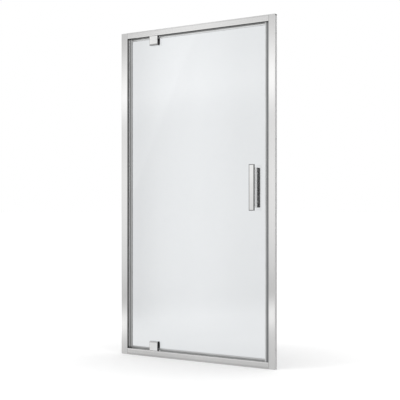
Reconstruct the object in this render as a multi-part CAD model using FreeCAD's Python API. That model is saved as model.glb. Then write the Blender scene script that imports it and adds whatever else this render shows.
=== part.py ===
"""Framed pivot shower door for a niche, 1000 mm wide and 1850 mm high.

An aluminium frame of four hollow extrusions holds one leaf of safety glass.
The leaf turns on two pivot blocks, set in from its hinge edge, so that the
handle side swings out of the shower and the short side swings in.

Millimetres. X runs along the width, from the hinge jamb to the strike jamb.
Y runs into the shower, so the outer face of the frame looks along -Y.
Z is up. The origin is the middle of the sill's underside.
"""
import FreeCAD, Part
import math
import os
from FreeCAD import Vector

# ---------------------------------------------------------------- frame sizes
frame_width = 1000.0
frame_height = 1850.0
frame_depth = 22.0
hinge_jamb_face = 42.5
strike_jamb_face = 38.5
rail_face = 35.0
frame_wall = 1.5
frame_edge_radius = 0.8
jamb_nose = 10.0            # closed chamber of a jamb, beside the opening

# T-slot in the nose of each jamb, which holds a seal by its root
slot_mouth = 3.4
slot_pocket = 6.0
slot_depth = 4.0
slot_wall = 1.2
root_clearance = 0.3

# screw ports inside the rails, one near the front wall and one near the back
port_clearance = 0.05
port_wall = 1.3
rib_thickness = 1.5

# corner screws, driven through the jamb into the ports of the rails
corner_screw_radius = 2.1
corner_head_radius = 4.0
corner_head_height = 2.6
head_bevel = 0.9            # bevel round the rim of a low round head
corner_screw_grip = 20.0
hole_clearance = 0.2

# wall channels, hidden in the jambs
channel_wall = 1.5
channel_back = 1.8
channel_clearance = 0.3
channel_to_screw = 2.5      # edge of the channel to the heads of the corner screws
channel_foot_gap = 3.0
wall_hole_radius = 2.75
wall_hole_count = 4
wall_hole_from_end = 100.0

# screws that hold each jamb to its channel, with their covers
fixing_count = 3
fixing_from_end = 150.0
fixing_inset = 13.0
fixing_radius = 1.6
fixing_head_radius = 3.4
fixing_head_height = 2.0
fixing_length = 6.0
cover_radius = 5.4
cover_wall = 1.2
cover_bevel = 0.8

# small round pieces and their holes are drawn with flats, and without threads
screw_sides = 8
cover_sides = 12

cap_thickness = 1.5
cap_plug_depth = 5.0
cap_plug_wall = 1.6

# ----------------------------------------------------------------- leaf sizes
glass_thickness = 6.0
glass_setback = 12.5        # from the front of the frame to the front of the glass
glass_bevel = 0.5
seal_skin = 1.2             # thickness of a seal's legs on the glass
seal_web = 1.5              # the part of a seal that covers the edge of the glass
sweep_gap = 0.6             # seal to rail
edge_gap = 0.4              # seal to seal, at the two upright edges

hinge_post_width = 6.5      # soft post in the hinge jamb
hinge_post_wall = 1.1
hinge_leg = 12.5
hinge_lip = 4.7
hinge_lip_thickness = 4.0

strike_post_width = 15.0    # magnet carrier in the strike jamb
strike_leg = 5.0
magnet_pocket = 5.4
magnet_pocket_wall = 0.8
magnet_clearance = 0.1

rail_leg = 6.0
rail_lip = 6.9
rail_lip_thickness = 3.0
rail_lip_tip = 1.5
drip_vane_reach = 3.0
drip_vane_thickness = 1.1

# --------------------------------------------------------------- pivot blocks
pivot_from_edge = 233.0     # pivot axis to the outer edge of the hinge jamb
block_width = 56.0
block_height = 54.0
block_proud = 10.0          # how far a block stands in front of the frame
block_gap = 1.0             # block to rail
block_edge_bevel = 1.2
block_bevel_height = 8.0
block_bevel_depth = 2.5
seal_to_block = 0.8

core_wall = 2.1             # metal round the clamp screws, in the tongue of the block
notch_clearance = 0.5
notch_radius = 4.0
gasket_thickness = 1.0
gasket_inset = 1.0          # gasket edge to the edge of the metal above it

inner_plate_margin = 6.0    # how much narrower the inner plate is, each side
inner_plate_height = 44.0
inner_plate_rise = 2.0
inner_plate_thickness = 8.0
inner_plate_bevel = 0.8

clamp_screw_radius = 2.4
clamp_head_radius = 4.8
clamp_head_height = 2.8
clamp_screw_length = 24.0
clamp_screw_spread = 20.0
clamp_screw_rise = 12.0
pin_end_wall = 4.1          # end of the pin to the upper clamp screw

pin_radius = 4.0
pin_in_block = 18.0
pin_running_clearance = 0.06
pin_bevel = 0.8
bush_wall = 2.0
bush_flange_radius = 8.5
bush_flange_gap = 0.2       # flange to block
bush_clearance = 0.1
insert_end = 6.5            # from a screw to the end of the insert
insert_height = 9.0
insert_clearance = 0.3
insert_screw_radius = 1.9
insert_screw_spread = 31.0
insert_head_radius = 3.6
insert_head_height = 2.1
insert_screw_length = 9.0

# --------------------------------------------------------------------- handle
handle_from_strike = 85.2   # middle of the handle to the strike jamb
handle_height = 948.6       # middle of the handle above the underside of the sill
handle_reach = 47.0         # front of the plate to the glass
plate_width = 28.0
plate_thickness = 15.0
plate_length = 244.0
plate_bevel = 1.5
web_length = 211.0
web_thickness = 12.0
web_inset = 2.0             # the web stands this far in from the plate's strike side
web_bevel = 1.0
inside_web_depth = 21.5
inside_plate_width = 22.0
inside_plate_thickness = 8.0
handle_hole_spacing = 152.0
stud_radius = 3.0
stud_in_web = 15.0
stud_in_inside_web = 12.0
sleeve_radius = 5.0
sleeve_clearance = 0.2
thread_clearance = 0.1
plate_screw_radius = 2.0
plate_screw_head_radius = 3.6
plate_screw_head_height = 3.4
plate_screw_spacing = 100.0
plate_screw_in_plate = 9.0
plate_screw_in_inside_plate = 5.0
grub_radius = 2.0

# cutting shapes run this far past what they cut, and edges are picked this closely
overrun = 1.0
closeness = 0.01

# --------------------------------------------------------- places worked out
ORIGIN = Vector(0, 0, 0)
UP = Vector(0, 0, 1)
ALONG = Vector(1, 0, 0)
INWARDS = Vector(0, 1, 0)

front_y = -frame_depth / 2
back_y = frame_depth / 2
cavity_front_y = front_y + frame_wall
cavity_back_y = back_y - frame_wall
opening_left = -frame_width / 2 + hinge_jamb_face
opening_right = frame_width / 2 - strike_jamb_face
opening_bottom = rail_face
opening_top = frame_height - rail_face

glass_front_y = front_y + glass_setback
glass_back_y = glass_front_y + glass_thickness
glass_middle_y = (glass_front_y + glass_back_y) / 2
leg_front_y = glass_front_y - seal_skin
leg_back_y = glass_back_y + seal_skin
hinge_lip_edge = opening_left + hinge_post_width + edge_gap
glass_left = hinge_lip_edge + hinge_lip + seal_web
strike_post_edge = opening_right - strike_post_width
magnet_edge = strike_post_edge - edge_gap
glass_right = magnet_edge - magnet_pocket - seal_web
glass_bottom = opening_bottom + sweep_gap + rail_lip + seal_web
glass_top = opening_top - sweep_gap - rail_lip - seal_web

pivot_x = -frame_width / 2 + pivot_from_edge
pivot_y = glass_front_y
block_front_y = front_y - block_proud
block_back_y = glass_front_y - gasket_thickness
core_back_y = glass_back_y + gasket_thickness
plate_front_y = glass_front_y - handle_reach
web_front_y = plate_front_y + plate_thickness
web_back_y = glass_front_y - gasket_thickness
inside_web_y = glass_back_y + gasket_thickness
inside_plate_y = inside_web_y + inside_web_depth
handle_x = opening_right - handle_from_strike
web_right = handle_x + plate_width / 2 - web_inset
web_left = web_right - web_thickness
web_x = (web_left + web_right) / 2
web_bottom = handle_height - web_length / 2
web_top = handle_height + web_length / 2

# the ports lie midway between the plug of the jamb cap and the pivot insert
port_radius = corner_screw_radius + port_clearance
port_height = (cap_thickness + cap_plug_depth + opening_bottom - frame_wall - insert_height) / 2
port_y = cavity_back_y - corner_head_radius - hole_clearance
port_places = [(y, z) for z in (port_height, frame_height - port_height) for y in (-port_y, port_y)]

bush_radius = pin_radius + pin_running_clearance + bush_wall
insert_length = insert_screw_spread + 2 * insert_end
upper_clamp_screw_rise = pin_in_block + pin_end_wall + clamp_screw_radius
core_width = clamp_screw_spread + 2 * (clamp_screw_radius + core_wall)
core_height = upper_clamp_screw_rise + clamp_screw_radius + core_wall


# -------------------------------------------------------------- drawing tools
def rectangle(a0, a1, b0, b1):
    """Flat face between two corners, in the drawing plane."""
    return Part.makePlane(a1 - a0, b1 - b0, Vector(a0, b0, 0))


def rounded_rectangle(a0, a1, b0, b1, radius):
    """Flat rectangle whose four corners are quarter circles."""
    def side(start, end):
        return Part.LineSegment(Vector(*start, 0), Vector(*end, 0)).toShape()

    def corner(a, b, angle):
        return Part.makeCircle(radius, Vector(a, b, 0), UP, angle, angle + 90)

    left, right = a0 + radius, a1 - radius
    low, high = b0 + radius, b1 - radius
    return Part.Face(Part.Wire([
        side((left, b0), (right, b0)),
        corner(right, low, 270),
        side((a1, low), (a1, high)),
        corner(right, high, 0),
        side((right, b1), (left, b1)),
        corner(left, high, 90),
        side((a0, high), (a0, low)),
        corner(left, low, 180),
    ]))


def polygon(points):
    """Flat face inside a closed run of straight lines."""
    corners = [Vector(a, b, 0) for a, b in points]
    return Part.Face(Part.makePolygon(corners + corners[:1]))


def bevelled_rectangle(a0, a1, b0, b1, bevel):
    """Flat rectangle whose four corners are cut off at 45 degrees."""
    return polygon([
        (a0 + bevel, b0), (a1 - bevel, b0), (a1, b0 + bevel), (a1, b1 - bevel),
        (a1 - bevel, b1), (a0 + bevel, b1), (a0, b1 - bevel), (a0, b0 + bevel),
    ])


def with_flats(a, b, radius):
    """Flat outline of a small round hole or bar, with the flats of a small screw."""
    angles = [2 * math.pi * (step + 0.5) / screw_sides for step in range(screw_sides)]
    return polygon([(a + radius * math.cos(t), b + radius * math.sin(t)) for t in angles])


def spread(count, from_end):
    """Evenly spaced heights, the first and the last as far from the ends of the frame."""
    step = (frame_height - 2 * from_end) / (count - 1)
    return [from_end + step * index for index in range(count)]


def run(face, direction):
    """Runs a profile along a direction, and joins what its touching fields make."""
    first, *others = face.extrude(direction).Solids
    return first.fuse(others).removeSplitter() if others else first


def upright(face, z0, z1):
    """A profile drawn in (X, Y), run from z0 up to z1."""
    placed = face.translated(Vector(0, 0, z0))
    return run(placed, Vector(0, 0, z1 - z0))


def lengthwise(face, x0, x1):
    """A profile drawn in (Y, Z), run from x0 to x1."""
    placed = face.copy()
    placed.rotate(ORIGIN, Vector(1, 1, 1), 120)
    placed.translate(Vector(x0, 0, 0))
    return run(placed, Vector(x1 - x0, 0, 0))


def facing(face, y0, y1):
    """An outline drawn in (X, Z), run from y0 to y1."""
    placed = face.copy()
    placed.rotate(ORIGIN, ALONG, 90)
    placed.translate(Vector(0, y0, 0))
    return run(placed, Vector(0, y1 - y0, 0))


def rod(start, direction, radius, length):
    """Round bar from a point along a direction."""
    return Part.makeCylinder(radius, length, start, direction)


def edges_where(shape, test):
    """The edges whose middle point passes a test."""
    return [edge for edge in shape.Edges if test(edge.CenterOfMass)]


def as_drawn(shape):
    """The piece itself, at the lower end of the door."""
    return shape


def mirrored_in_z(shape):
    """The same piece at the other end of the door."""
    return shape.mirror(Vector(0, 0, frame_height / 2), UP)


def turned(start, direction, stations, sides=screw_sides):
    """A turned piece drawn with flats, closed at its first and last stations.

    Each station is a distance from the start along the direction, and a radius.
    """
    across = UP if abs(direction.z) < abs(direction.x + direction.y) else ALONG
    beside = direction.cross(across)

    def ring(distance, radius):
        middle = start + direction * distance
        angles = [2 * math.pi * (step + 0.5) / sides for step in range(sides)]
        return [middle + across * (radius * math.cos(a)) + beside * (radius * math.sin(a))
                for a in angles]

    rings = [ring(distance, radius) for distance, radius in stations]
    faces = [Part.Face(Part.makePolygon(end + end[:1])) for end in (rings[0], rings[-1])]
    for near, far in zip(rings, rings[1:]):
        for step in range(sides):
            after = (step + 1) % sides
            corners = [near[step], near[after], far[after], far[step], near[step]]
            faces.append(Part.Face(Part.makePolygon(corners)))
    solid = Part.Solid(Part.Shell(faces))
    if solid.Volume < 0:
        solid.reverse()
    return solid


def screw_hole(start, direction, radius, length):
    """Straight hole for a small screw or a stud."""
    return turned(start, direction, [(0, radius), (length, radius)])


def countersunk(face_point, direction, radius, head_radius, head_height, length):
    """Flat-head screw whose head lies flush at face_point, or the hole for a larger one."""
    return turned(face_point, direction,
                  [(0, head_radius), (head_height, radius), (length, radius)])


def countersunk_hole(face_point, direction, radius, head_radius, head_height, length):
    """What a countersunk screw leaves room for, a little larger all round."""
    return countersunk(face_point, direction, radius + thread_clearance,
                       head_radius + thread_clearance, head_height, length + thread_clearance)


def pan_screw(seat, direction, radius, head_radius, head_height, length):
    """Low head above the seat, with a bevelled rim, and a shank beyond it."""
    return turned(seat, direction, [
        (-head_height, head_radius - head_bevel), (head_bevel - head_height, head_radius),
        (0, head_radius), (0, radius), (length, radius),
    ])


# --------------------------------------------------------------------- jambs
def jamb_profile(face_width):
    """Jamb section. The first coordinate runs from the wall to the opening.

    The wall side is an open cavity that slides over the wall channel. The
    nose is a closed chamber with a T-slot for the root of a seal.
    """
    nose = face_width - jamb_nose
    inside = face_width - frame_wall
    slot_low = glass_middle_y - slot_pocket / 2
    slot_high = glass_middle_y + slot_pocket / 2
    slot_start = face_width - slot_depth
    shell = rounded_rectangle(0, face_width, front_y, back_y, frame_edge_radius)
    cavity = rectangle(-overrun, nose, cavity_front_y, cavity_back_y)
    chamber = rectangle(nose + frame_wall, inside, cavity_front_y, cavity_back_y)
    slot_box = rectangle(slot_start - slot_wall, inside, slot_low - slot_wall, slot_high + slot_wall)
    pocket = rectangle(slot_start, inside, slot_low, slot_high)
    mouth_low = glass_middle_y - slot_mouth / 2
    mouth = rectangle(slot_start, face_width + overrun, mouth_low, mouth_low + slot_mouth)
    section = shell.cut([cavity, chamber]).fuse(slot_box)
    return section.cut([pocket, mouth])


def channel_profile(face_width):
    """Wall channel section: a U whose back lies on the wall."""
    outer_front = cavity_front_y + channel_clearance
    outer_back = cavity_back_y - channel_clearance
    reach = face_width - jamb_nose - corner_head_height - channel_to_screw
    body = rectangle(0, reach, outer_front, outer_back)
    hollow = rectangle(channel_back, reach + overrun,
                       outer_front + channel_wall, outer_back - channel_wall)
    return body.cut(hollow)


def cap_profile(face_width):
    """Section of the wall-side cavity, a little smaller all round."""
    return rectangle(channel_clearance, face_width - jamb_nose - channel_clearance,
                     cavity_front_y + channel_clearance, cavity_back_y - channel_clearance)


def jamb_side(face_width):
    """Every piece of one jamb, drawn with the wall at X = 0 and the opening towards +X."""
    metal_top = frame_height - cap_thickness
    nose = face_width - jamb_nose
    jamb = upright(jamb_profile(face_width), 0, metal_top)
    channel_top = metal_top - cap_plug_depth - channel_clearance
    channel = upright(channel_profile(face_width), channel_foot_gap, channel_top)

    corner_holes, corner_screws = [], []
    for y, level in port_places:
        seat = Vector(nose, y, level)
        corner_holes.append(screw_hole(seat - ALONG * overrun, ALONG,
                                       corner_screw_radius + hole_clearance,
                                       jamb_nose + 2 * overrun))
        corner_screws.append(pan_screw(seat, ALONG, corner_screw_radius, corner_head_radius,
                                       corner_head_height, jamb_nose + corner_screw_grip))

    fixing_holes, fixing_screws, covers = [], [], []
    for level in spread(fixing_count, fixing_from_end):
        seat = Vector(fixing_inset, back_y, level)
        fixing_holes.append(screw_hole(seat, -INWARDS, fixing_radius + thread_clearance,
                                       frame_depth / 2))
        fixing_screws.append(pan_screw(seat, -INWARDS, fixing_radius, fixing_head_radius,
                                       fixing_head_height, fixing_length))
        covers.append(screw_cover(seat))

    wall_holes = [rod(Vector(-overrun, 0, level), ALONG, wall_hole_radius,
                      channel_back + 2 * overrun)
                  for level in spread(wall_hole_count, wall_hole_from_end)]
    plug = cap_profile(face_width)
    plug_hollow = rectangle(channel_clearance + cap_plug_wall, nose - channel_clearance - cap_plug_wall,
                            cavity_front_y + channel_clearance + cap_plug_wall,
                            cavity_back_y - channel_clearance - cap_plug_wall)
    lid = rounded_rectangle(0, face_width, front_y, back_y, frame_edge_radius)
    cap = upright(lid, metal_top, frame_height)
    cap = cap.fuse(upright(plug.cut(plug_hollow), metal_top - cap_plug_depth, metal_top))
    return {
        "jamb": jamb.cut(corner_holes + fixing_holes),
        "channel": channel.cut(fixing_holes + wall_holes),
        "corner_screws": corner_screws,
        "fixing_screws": fixing_screws,
        "covers": covers,
        "cap": cap.removeSplitter(),
    }


def screw_cover(seat):
    """Cup that snaps over the head of a fixing screw."""
    height = fixing_head_height + hole_clearance + cover_wall
    bore = cover_radius - cover_wall
    return turned(seat, INWARDS, [
        (height - cover_wall, bore), (0, bore), (0, cover_radius),
        (height - cover_bevel, cover_radius), (height, cover_radius - cover_bevel),
    ], cover_sides)


# --------------------------------------------------------------------- rails
def sill_profile():
    """Rail section in (Y, Z): a hollow box with a screw port on each upright wall."""
    shell = rounded_rectangle(front_y, back_y, 0, opening_bottom, frame_edge_radius)
    hollow = rectangle(cavity_front_y, cavity_back_y, frame_wall, opening_bottom - frame_wall)
    section = shell.cut(hollow)
    half_rib = rib_thickness / 2
    for wall_y, y in ((cavity_front_y, -port_y), (cavity_back_y, port_y)):
        boss = with_flats(y, port_height, port_radius + port_wall)
        rib = rectangle(*sorted((wall_y, y)), port_height - half_rib, port_height + half_rib)
        section = section.fuse([boss, rib])
    return section.cut([with_flats(y, port_height, port_radius) for y in (-port_y, port_y)])


def insert_screw_places():
    """The two screws that hold a pivot insert, as points on the rail's opening side."""
    return [Vector(pivot_x + side * insert_screw_spread / 2, pivot_y, opening_bottom)
            for side in (-1, 1)]


def sill_assembly():
    """The sill with its pivot insert, bush and screws. The head is its mirror image."""
    down = -UP
    pin_foot = Vector(pivot_x, pivot_y, opening_bottom)
    insert_top = opening_bottom - frame_wall
    screw = (insert_screw_radius, insert_head_radius, insert_head_height)
    bush_length = frame_wall + insert_height
    bush_hole = rod(pin_foot, down, bush_radius + bush_clearance, bush_length + overrun)
    screw_holes = [countersunk_hole(place, down, *screw, bush_length + overrun)
                   for place in insert_screw_places()]

    sill = lengthwise(sill_profile(), opening_left, opening_right)
    sill = sill.cut([bush_hole] + screw_holes)

    insert_outline = rectangle(cavity_front_y + insert_clearance, cavity_back_y - insert_clearance,
                               insert_top - insert_height, insert_top)
    insert = lengthwise(insert_outline, pivot_x - insert_length / 2, pivot_x + insert_length / 2)
    insert = insert.cut([bush_hole] + screw_holes)

    bush = rod(pin_foot, down, bush_radius, bush_length)
    bush = bush.fuse(rod(pin_foot, UP, bush_flange_radius, block_gap - bush_flange_gap))
    bush = bush.cut(rod(pin_foot + UP * block_gap, down, pin_radius + pin_running_clearance,
                        block_gap + bush_length))
    screws = [countersunk(place, down, *screw, insert_screw_length)
              for place in insert_screw_places()]
    return {"rail": sill, "insert": insert, "bush": bush.removeSplitter(), "screws": screws}


# --------------------------------------------------------------------- glass
def notch_outline(edge_z, clearance):
    """Outline of the notch at the lower edge, open at the edge and rounded at the top."""
    half = core_width / 2 + clearance
    top = opening_bottom + block_gap + core_height + clearance
    return rounded_rectangle(pivot_x - half, pivot_x + half, edge_z - 2 * notch_radius, top, notch_radius)


def glass_pane():
    """Toughened pane with polished edges, two pivot notches and two handle holes."""
    pane = facing(rectangle(glass_left, glass_right, glass_bottom, glass_top), glass_front_y, glass_back_y)
    pane = pane.makeChamfer(glass_bevel, edges_where(pane, on_glass_faces))
    notch = facing(notch_outline(glass_bottom, notch_clearance),
                   glass_front_y - overrun, glass_back_y + overrun)
    holes = [rod(Vector(web_x, glass_front_y - overrun, level), INWARDS,
                 sleeve_radius + sleeve_clearance, glass_thickness + 2 * overrun)
             for level in handle_hole_levels()]
    return pane.cut([notch, mirrored_in_z(notch)] + holes)


def on_glass_faces(point):
    """True for an edge that lies in the front or the back of the pane."""
    return abs(abs(point.y - glass_middle_y) - glass_thickness / 2) < closeness


def handle_hole_levels():
    """Heights of the two holes for the handle."""
    return [handle_height - handle_hole_spacing / 2, handle_height + handle_hole_spacing / 2]


# --------------------------------------------------------------------- seals
def root_profile(toward_wall):
    """Arrow-shaped root that holds a seal in the T-slot, drawn at the mouth of the slot."""
    neck_half = slot_mouth / 2 - root_clearance / 2
    head_half = slot_pocket / 2 - root_clearance
    neck = frame_wall + root_clearance
    tip = slot_depth - root_clearance
    outline = [(0, -neck_half), (neck, -neck_half), (neck, -head_half), (tip, -neck_half),
               (tip, neck_half), (neck, head_half), (neck, neck_half), (0, neck_half)]
    return polygon([(toward_wall * a, glass_middle_y + b) for a, b in outline])


def hinge_post():
    """Soft hollow post in the slot of the hinge jamb."""
    right = opening_left + hinge_post_width
    body = rounded_rectangle(opening_left, right, leg_front_y, leg_back_y, hinge_post_wall)
    hollow = rectangle(opening_left + hinge_post_wall, right - hinge_post_wall,
                       leg_front_y + hinge_post_wall, leg_back_y - hinge_post_wall)
    root = root_profile(-1).translated(Vector(opening_left, 0, 0))
    section = body.cut(hollow).fuse(root)
    return upright(section, opening_bottom, opening_top)


def magnet_section(pocket_left, pocket_right):
    """Thin-walled pocket and the magnet inside it, as two faces."""
    wall = magnet_pocket_wall
    low, high = leg_front_y, leg_back_y
    pocket = bevelled_rectangle(pocket_left, pocket_right, low, high, wall)
    hollow = rectangle(pocket_left + wall, pocket_right - wall, low + wall, high - wall)
    inset = wall + magnet_clearance
    magnet = rectangle(pocket_left + inset, pocket_right - inset, low + inset, high - inset)
    return pocket, hollow, magnet


def strike_post():
    """Magnet carrier in the slot of the strike jamb, and its magnet."""
    wall = magnet_pocket_wall
    pocket, hollow, magnet = magnet_section(strike_post_edge, strike_post_edge + magnet_pocket)
    chamber_left = strike_post_edge + magnet_pocket
    arm = rectangle(chamber_left - wall, opening_right, leg_front_y, leg_back_y)
    arm_hollow = rectangle(chamber_left, opening_right - wall, leg_front_y + wall, leg_back_y - wall)
    root = root_profile(1).translated(Vector(opening_right, 0, 0))
    section = pocket.fuse([arm, root]).cut([hollow, arm_hollow])
    return (upright(section, opening_bottom, opening_top),
            upright(magnet, opening_bottom, opening_top))


def edge_clip(edge_x, leg, outward):
    """U that grips an upright edge of the glass. outward is -1 at the left edge, 1 at the right."""
    legs_end = edge_x - outward * leg
    cover_end = edge_x + outward * seal_web
    low, high = sorted((legs_end, cover_end))
    clip = rectangle(low, high, leg_front_y, leg_back_y)
    glass = rectangle(*sorted((legs_end - outward * overrun, edge_x)), glass_front_y, glass_back_y)
    return clip.cut(glass)


def hinge_edge_seal():
    """Clip-on seal of the hinge edge, with a rounded lip that meets the soft post."""
    half = hinge_lip_thickness / 2
    lip = rounded_rectangle(hinge_lip_edge, glass_left - seal_web / 2,
                            glass_middle_y - half, glass_middle_y + half, half / 2)
    section = edge_clip(glass_left, hinge_leg, -1).fuse(lip)
    return upright(section, opening_bottom + sweep_gap, opening_top - sweep_gap)


def strike_edge_seal():
    """Clip-on seal of the strike edge, with a pocket for its magnet, and the magnet."""
    pocket, hollow, magnet = magnet_section(magnet_edge - magnet_pocket, magnet_edge)
    section = edge_clip(glass_right, strike_leg, 1).fuse(pocket).cut(hollow)
    bottom, top = opening_bottom + sweep_gap, opening_top - sweep_gap
    return upright(section, bottom, top), upright(magnet, bottom, top)


def rail_lip_outline(root_z, tip_z):
    """Soft lip that thins from the web of the seal to its tip."""
    root, tip = rail_lip_thickness / 2, rail_lip_tip / 2
    return polygon([
        (glass_middle_y - root, root_z), (glass_middle_y + root, root_z),
        (glass_middle_y + tip, tip_z), (glass_middle_y - tip, tip_z),
    ])


def bottom_seal_profile():
    """Wiper section in (Y, Z): a U on the glass edge, a soft lip and a drip vane inside."""
    web_low = glass_bottom - seal_web
    clip = rectangle(leg_front_y, leg_back_y, web_low, glass_bottom + rail_leg)
    glass = rectangle(glass_front_y, glass_back_y, glass_bottom, glass_bottom + rail_leg + overrun)
    foot = opening_bottom + sweep_gap
    lip = rail_lip_outline(web_low, foot)
    vane_top = web_low + seal_web / 2
    vane = polygon([
        (leg_back_y - drip_vane_thickness, vane_top), (leg_back_y, vane_top),
        (leg_back_y + drip_vane_reach, foot + sweep_gap),
        (leg_back_y + drip_vane_reach - drip_vane_thickness, foot + sweep_gap),
    ])
    return clip.cut(glass).fuse([lip, vane])


def top_seal_profile():
    """The same wiper over the upper edge of the glass, without the drip vane."""
    web_high = glass_top + seal_web
    clip = rectangle(leg_front_y, leg_back_y, glass_top - rail_leg, web_high)
    glass = rectangle(glass_front_y, glass_back_y, glass_top - rail_leg - overrun, glass_top)
    return clip.cut(glass).fuse(rail_lip_outline(web_high, opening_top - sweep_gap))


def rail_seal_spans():
    """Where the wipers run: hinge edge to pivot block, and pivot block to strike edge."""
    block_half = block_width / 2 + seal_to_block
    hinge_side = (glass_left + hinge_leg + root_clearance, pivot_x - block_half)
    handle_side = (pivot_x + block_half, glass_right - strike_leg - root_clearance)
    return hinge_side, handle_side


# -------------------------------------------------------------- pivot blocks
def clamp_screw_places():
    """Where the clamp screws enter the inner plate of the lower block."""
    base = opening_bottom + block_gap
    back = core_back_y + inner_plate_thickness
    low = base + clamp_screw_rise
    half = clamp_screw_spread / 2
    return [
        Vector(pivot_x - half, back, low),
        Vector(pivot_x + half, back, low),
        Vector(pivot_x, back, base + upper_clamp_screw_rise),
    ]


def lower_pivot():
    """The lower pivot block with all that is clamped by it. The upper one is its mirror image."""
    base = opening_bottom + block_gap
    top = base + block_height
    half = block_width / 2
    screw = (clamp_screw_radius, clamp_head_radius, clamp_head_height)
    screw_holes = [countersunk_hole(place, -INWARDS, *screw, clamp_screw_length)
                   for place in clamp_screw_places()]
    pin_foot = Vector(pivot_x, pivot_y, base)
    pin_hole = rod(pin_foot, UP, pin_radius + thread_clearance, pin_in_block + thread_clearance)

    side_view = polygon([
        (block_front_y, base), (block_back_y, base), (block_back_y, top),
        (block_front_y + block_bevel_depth, top), (block_front_y, top - block_bevel_height),
    ])
    body = lengthwise(side_view, pivot_x - half, pivot_x + half)
    front_edges = edges_where(body, lambda p: p.y < block_front_y + block_bevel_depth)
    body = body.makeChamfer(block_edge_bevel, front_edges)
    core = facing(rounded_rectangle(pivot_x - core_width / 2, pivot_x + core_width / 2,
                                    base - 2 * notch_radius, base + core_height, notch_radius),
                  block_back_y, core_back_y)
    below_base = facing(rectangle(pivot_x - half, pivot_x + half, base - 3 * notch_radius, base),
                        block_back_y - overrun, core_back_y + overrun)
    body = body.fuse(core.cut(below_base)).removeSplitter().cut(screw_holes + [pin_hole])

    inner_half = half - inner_plate_margin
    inner_low = base + inner_plate_rise
    inner_high = inner_low + inner_plate_height
    back = core_back_y + inner_plate_thickness
    inner_outline = bevelled_rectangle(pivot_x - inner_half, pivot_x + inner_half,
                                       inner_low, inner_high, inner_plate_bevel)
    inner = facing(inner_outline, core_back_y, back)
    inner = inner.makeChamfer(inner_plate_bevel, edges_where(inner, lambda p: p.y > back - closeness))
    inner = inner.cut(screw_holes)

    notch = facing(notch_outline(base, notch_clearance),
                   block_back_y - overrun, core_back_y + overrun)
    outer_sheet = rectangle(pivot_x - half + gasket_inset, pivot_x + half - gasket_inset,
                            glass_bottom + glass_bevel, top - gasket_inset)
    inner_sheet = rectangle(pivot_x - inner_half + gasket_inset, pivot_x + inner_half - gasket_inset,
                            glass_bottom + glass_bevel, inner_high - gasket_inset)
    pin_drop = block_gap + frame_wall + insert_height - pin_bevel
    pin = rod(pin_foot - UP * pin_drop, UP, pin_radius, pin_drop + pin_in_block)
    pin = pin.makeChamfer(pin_bevel, edges_where(pin, lambda p: p.z < base - pin_drop + closeness))
    return {
        "block": body,
        "inner_plate": inner,
        "outer_gasket": facing(outer_sheet, block_back_y, glass_front_y).cut(notch),
        "inner_gasket": facing(inner_sheet, glass_back_y, core_back_y).cut(notch),
        "pin": pin,
        "clamp_screws": [countersunk(place, -INWARDS, *screw, clamp_screw_length)
                         for place in clamp_screw_places()],
    }


# -------------------------------------------------------------------- handle
def plate_screw_levels():
    """Heights of the two screws that hold the front plate on its web."""
    return [handle_height - plate_screw_spacing / 2, handle_height + plate_screw_spacing / 2]


def pull_plate(x0, x1, length, flat_y, thickness, outwards, screw_depth):
    """Flat bar of the handle, bevelled round the face that looks away from the glass.

    flat_y is the face that lies on the web. outwards points away from the glass.
    """
    low = handle_height - length / 2
    face_y = flat_y + outwards.y * thickness
    plate = upright(rectangle(x0, x1, *sorted((flat_y, face_y))), low, low + length)
    rim = edges_where(plate, lambda p: abs(p.y - face_y) < closeness)
    plate = plate.makeChamfer(plate_bevel, rim)
    return plate.cut([screw_hole(Vector(web_x, flat_y, level), outwards,
                                 plate_screw_radius + thread_clearance, screw_depth)
                      for level in plate_screw_levels()])


def handle_web(glass_side_y, depth, outwards, stud_depth):
    """Upright bar that holds a plate off the glass, with holes for its studs and screws."""
    plate_side_y = glass_side_y + outwards.y * depth
    outline = bevelled_rectangle(web_left, web_right, *sorted((glass_side_y, plate_side_y)), web_bevel)
    web = upright(outline, web_bottom, web_top)
    holes = [screw_hole(Vector(web_x, glass_side_y, level), outwards,
                        stud_radius + thread_clearance, stud_depth)
             for level in handle_hole_levels()]
    shank = plate_screw_radius + thread_clearance
    head = plate_screw_head_radius + thread_clearance
    seat = plate_screw_head_height + thread_clearance
    for level in plate_screw_levels():
        holes.append(turned(Vector(web_x, glass_side_y, level), outwards, [
            (0, head), (seat, head), (seat, shank), (depth, shank),
        ]))
    return web.cut(holes)


def handle_plate_screws(glass_side_y, depth, outwards, in_plate):
    """Cap screws, sunk in the glass side of a web, that run into its plate."""
    length = depth + in_plate - 2 * thread_clearance
    start_y = glass_side_y + outwards.y * thread_clearance
    return [turned(Vector(web_x, start_y, level), outwards, [
        (0, plate_screw_head_radius), (plate_screw_head_height, plate_screw_head_radius),
        (plate_screw_head_height, plate_screw_radius), (length, plate_screw_radius),
    ]) for level in plate_screw_levels()]


def grub_screw_places():
    """Start and length of the grub screws that lock the studs in the web inside the shower."""
    depth = inside_web_y + stud_in_inside_web / 2
    length = web_right - web_x - stud_radius
    return [(Vector(web_right, depth, level), length) for level in handle_hole_levels()]


def handle_grub_screws():
    """Short headless screws, flush with the side of the inside web."""
    return [turned(place, -ALONG, [(0, grub_radius), (length - thread_clearance, grub_radius)])
            for place, length in grub_screw_places()]


def handle_studs():
    """Two studs that tie the two halves of the handle together through the glass."""
    start = web_back_y - stud_in_web + thread_clearance
    end = inside_web_y + stud_in_inside_web - thread_clearance
    return [turned(Vector(web_x, start, level), INWARDS,
                   [(0, stud_radius), (end - start, stud_radius)])
            for level in handle_hole_levels()]


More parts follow.
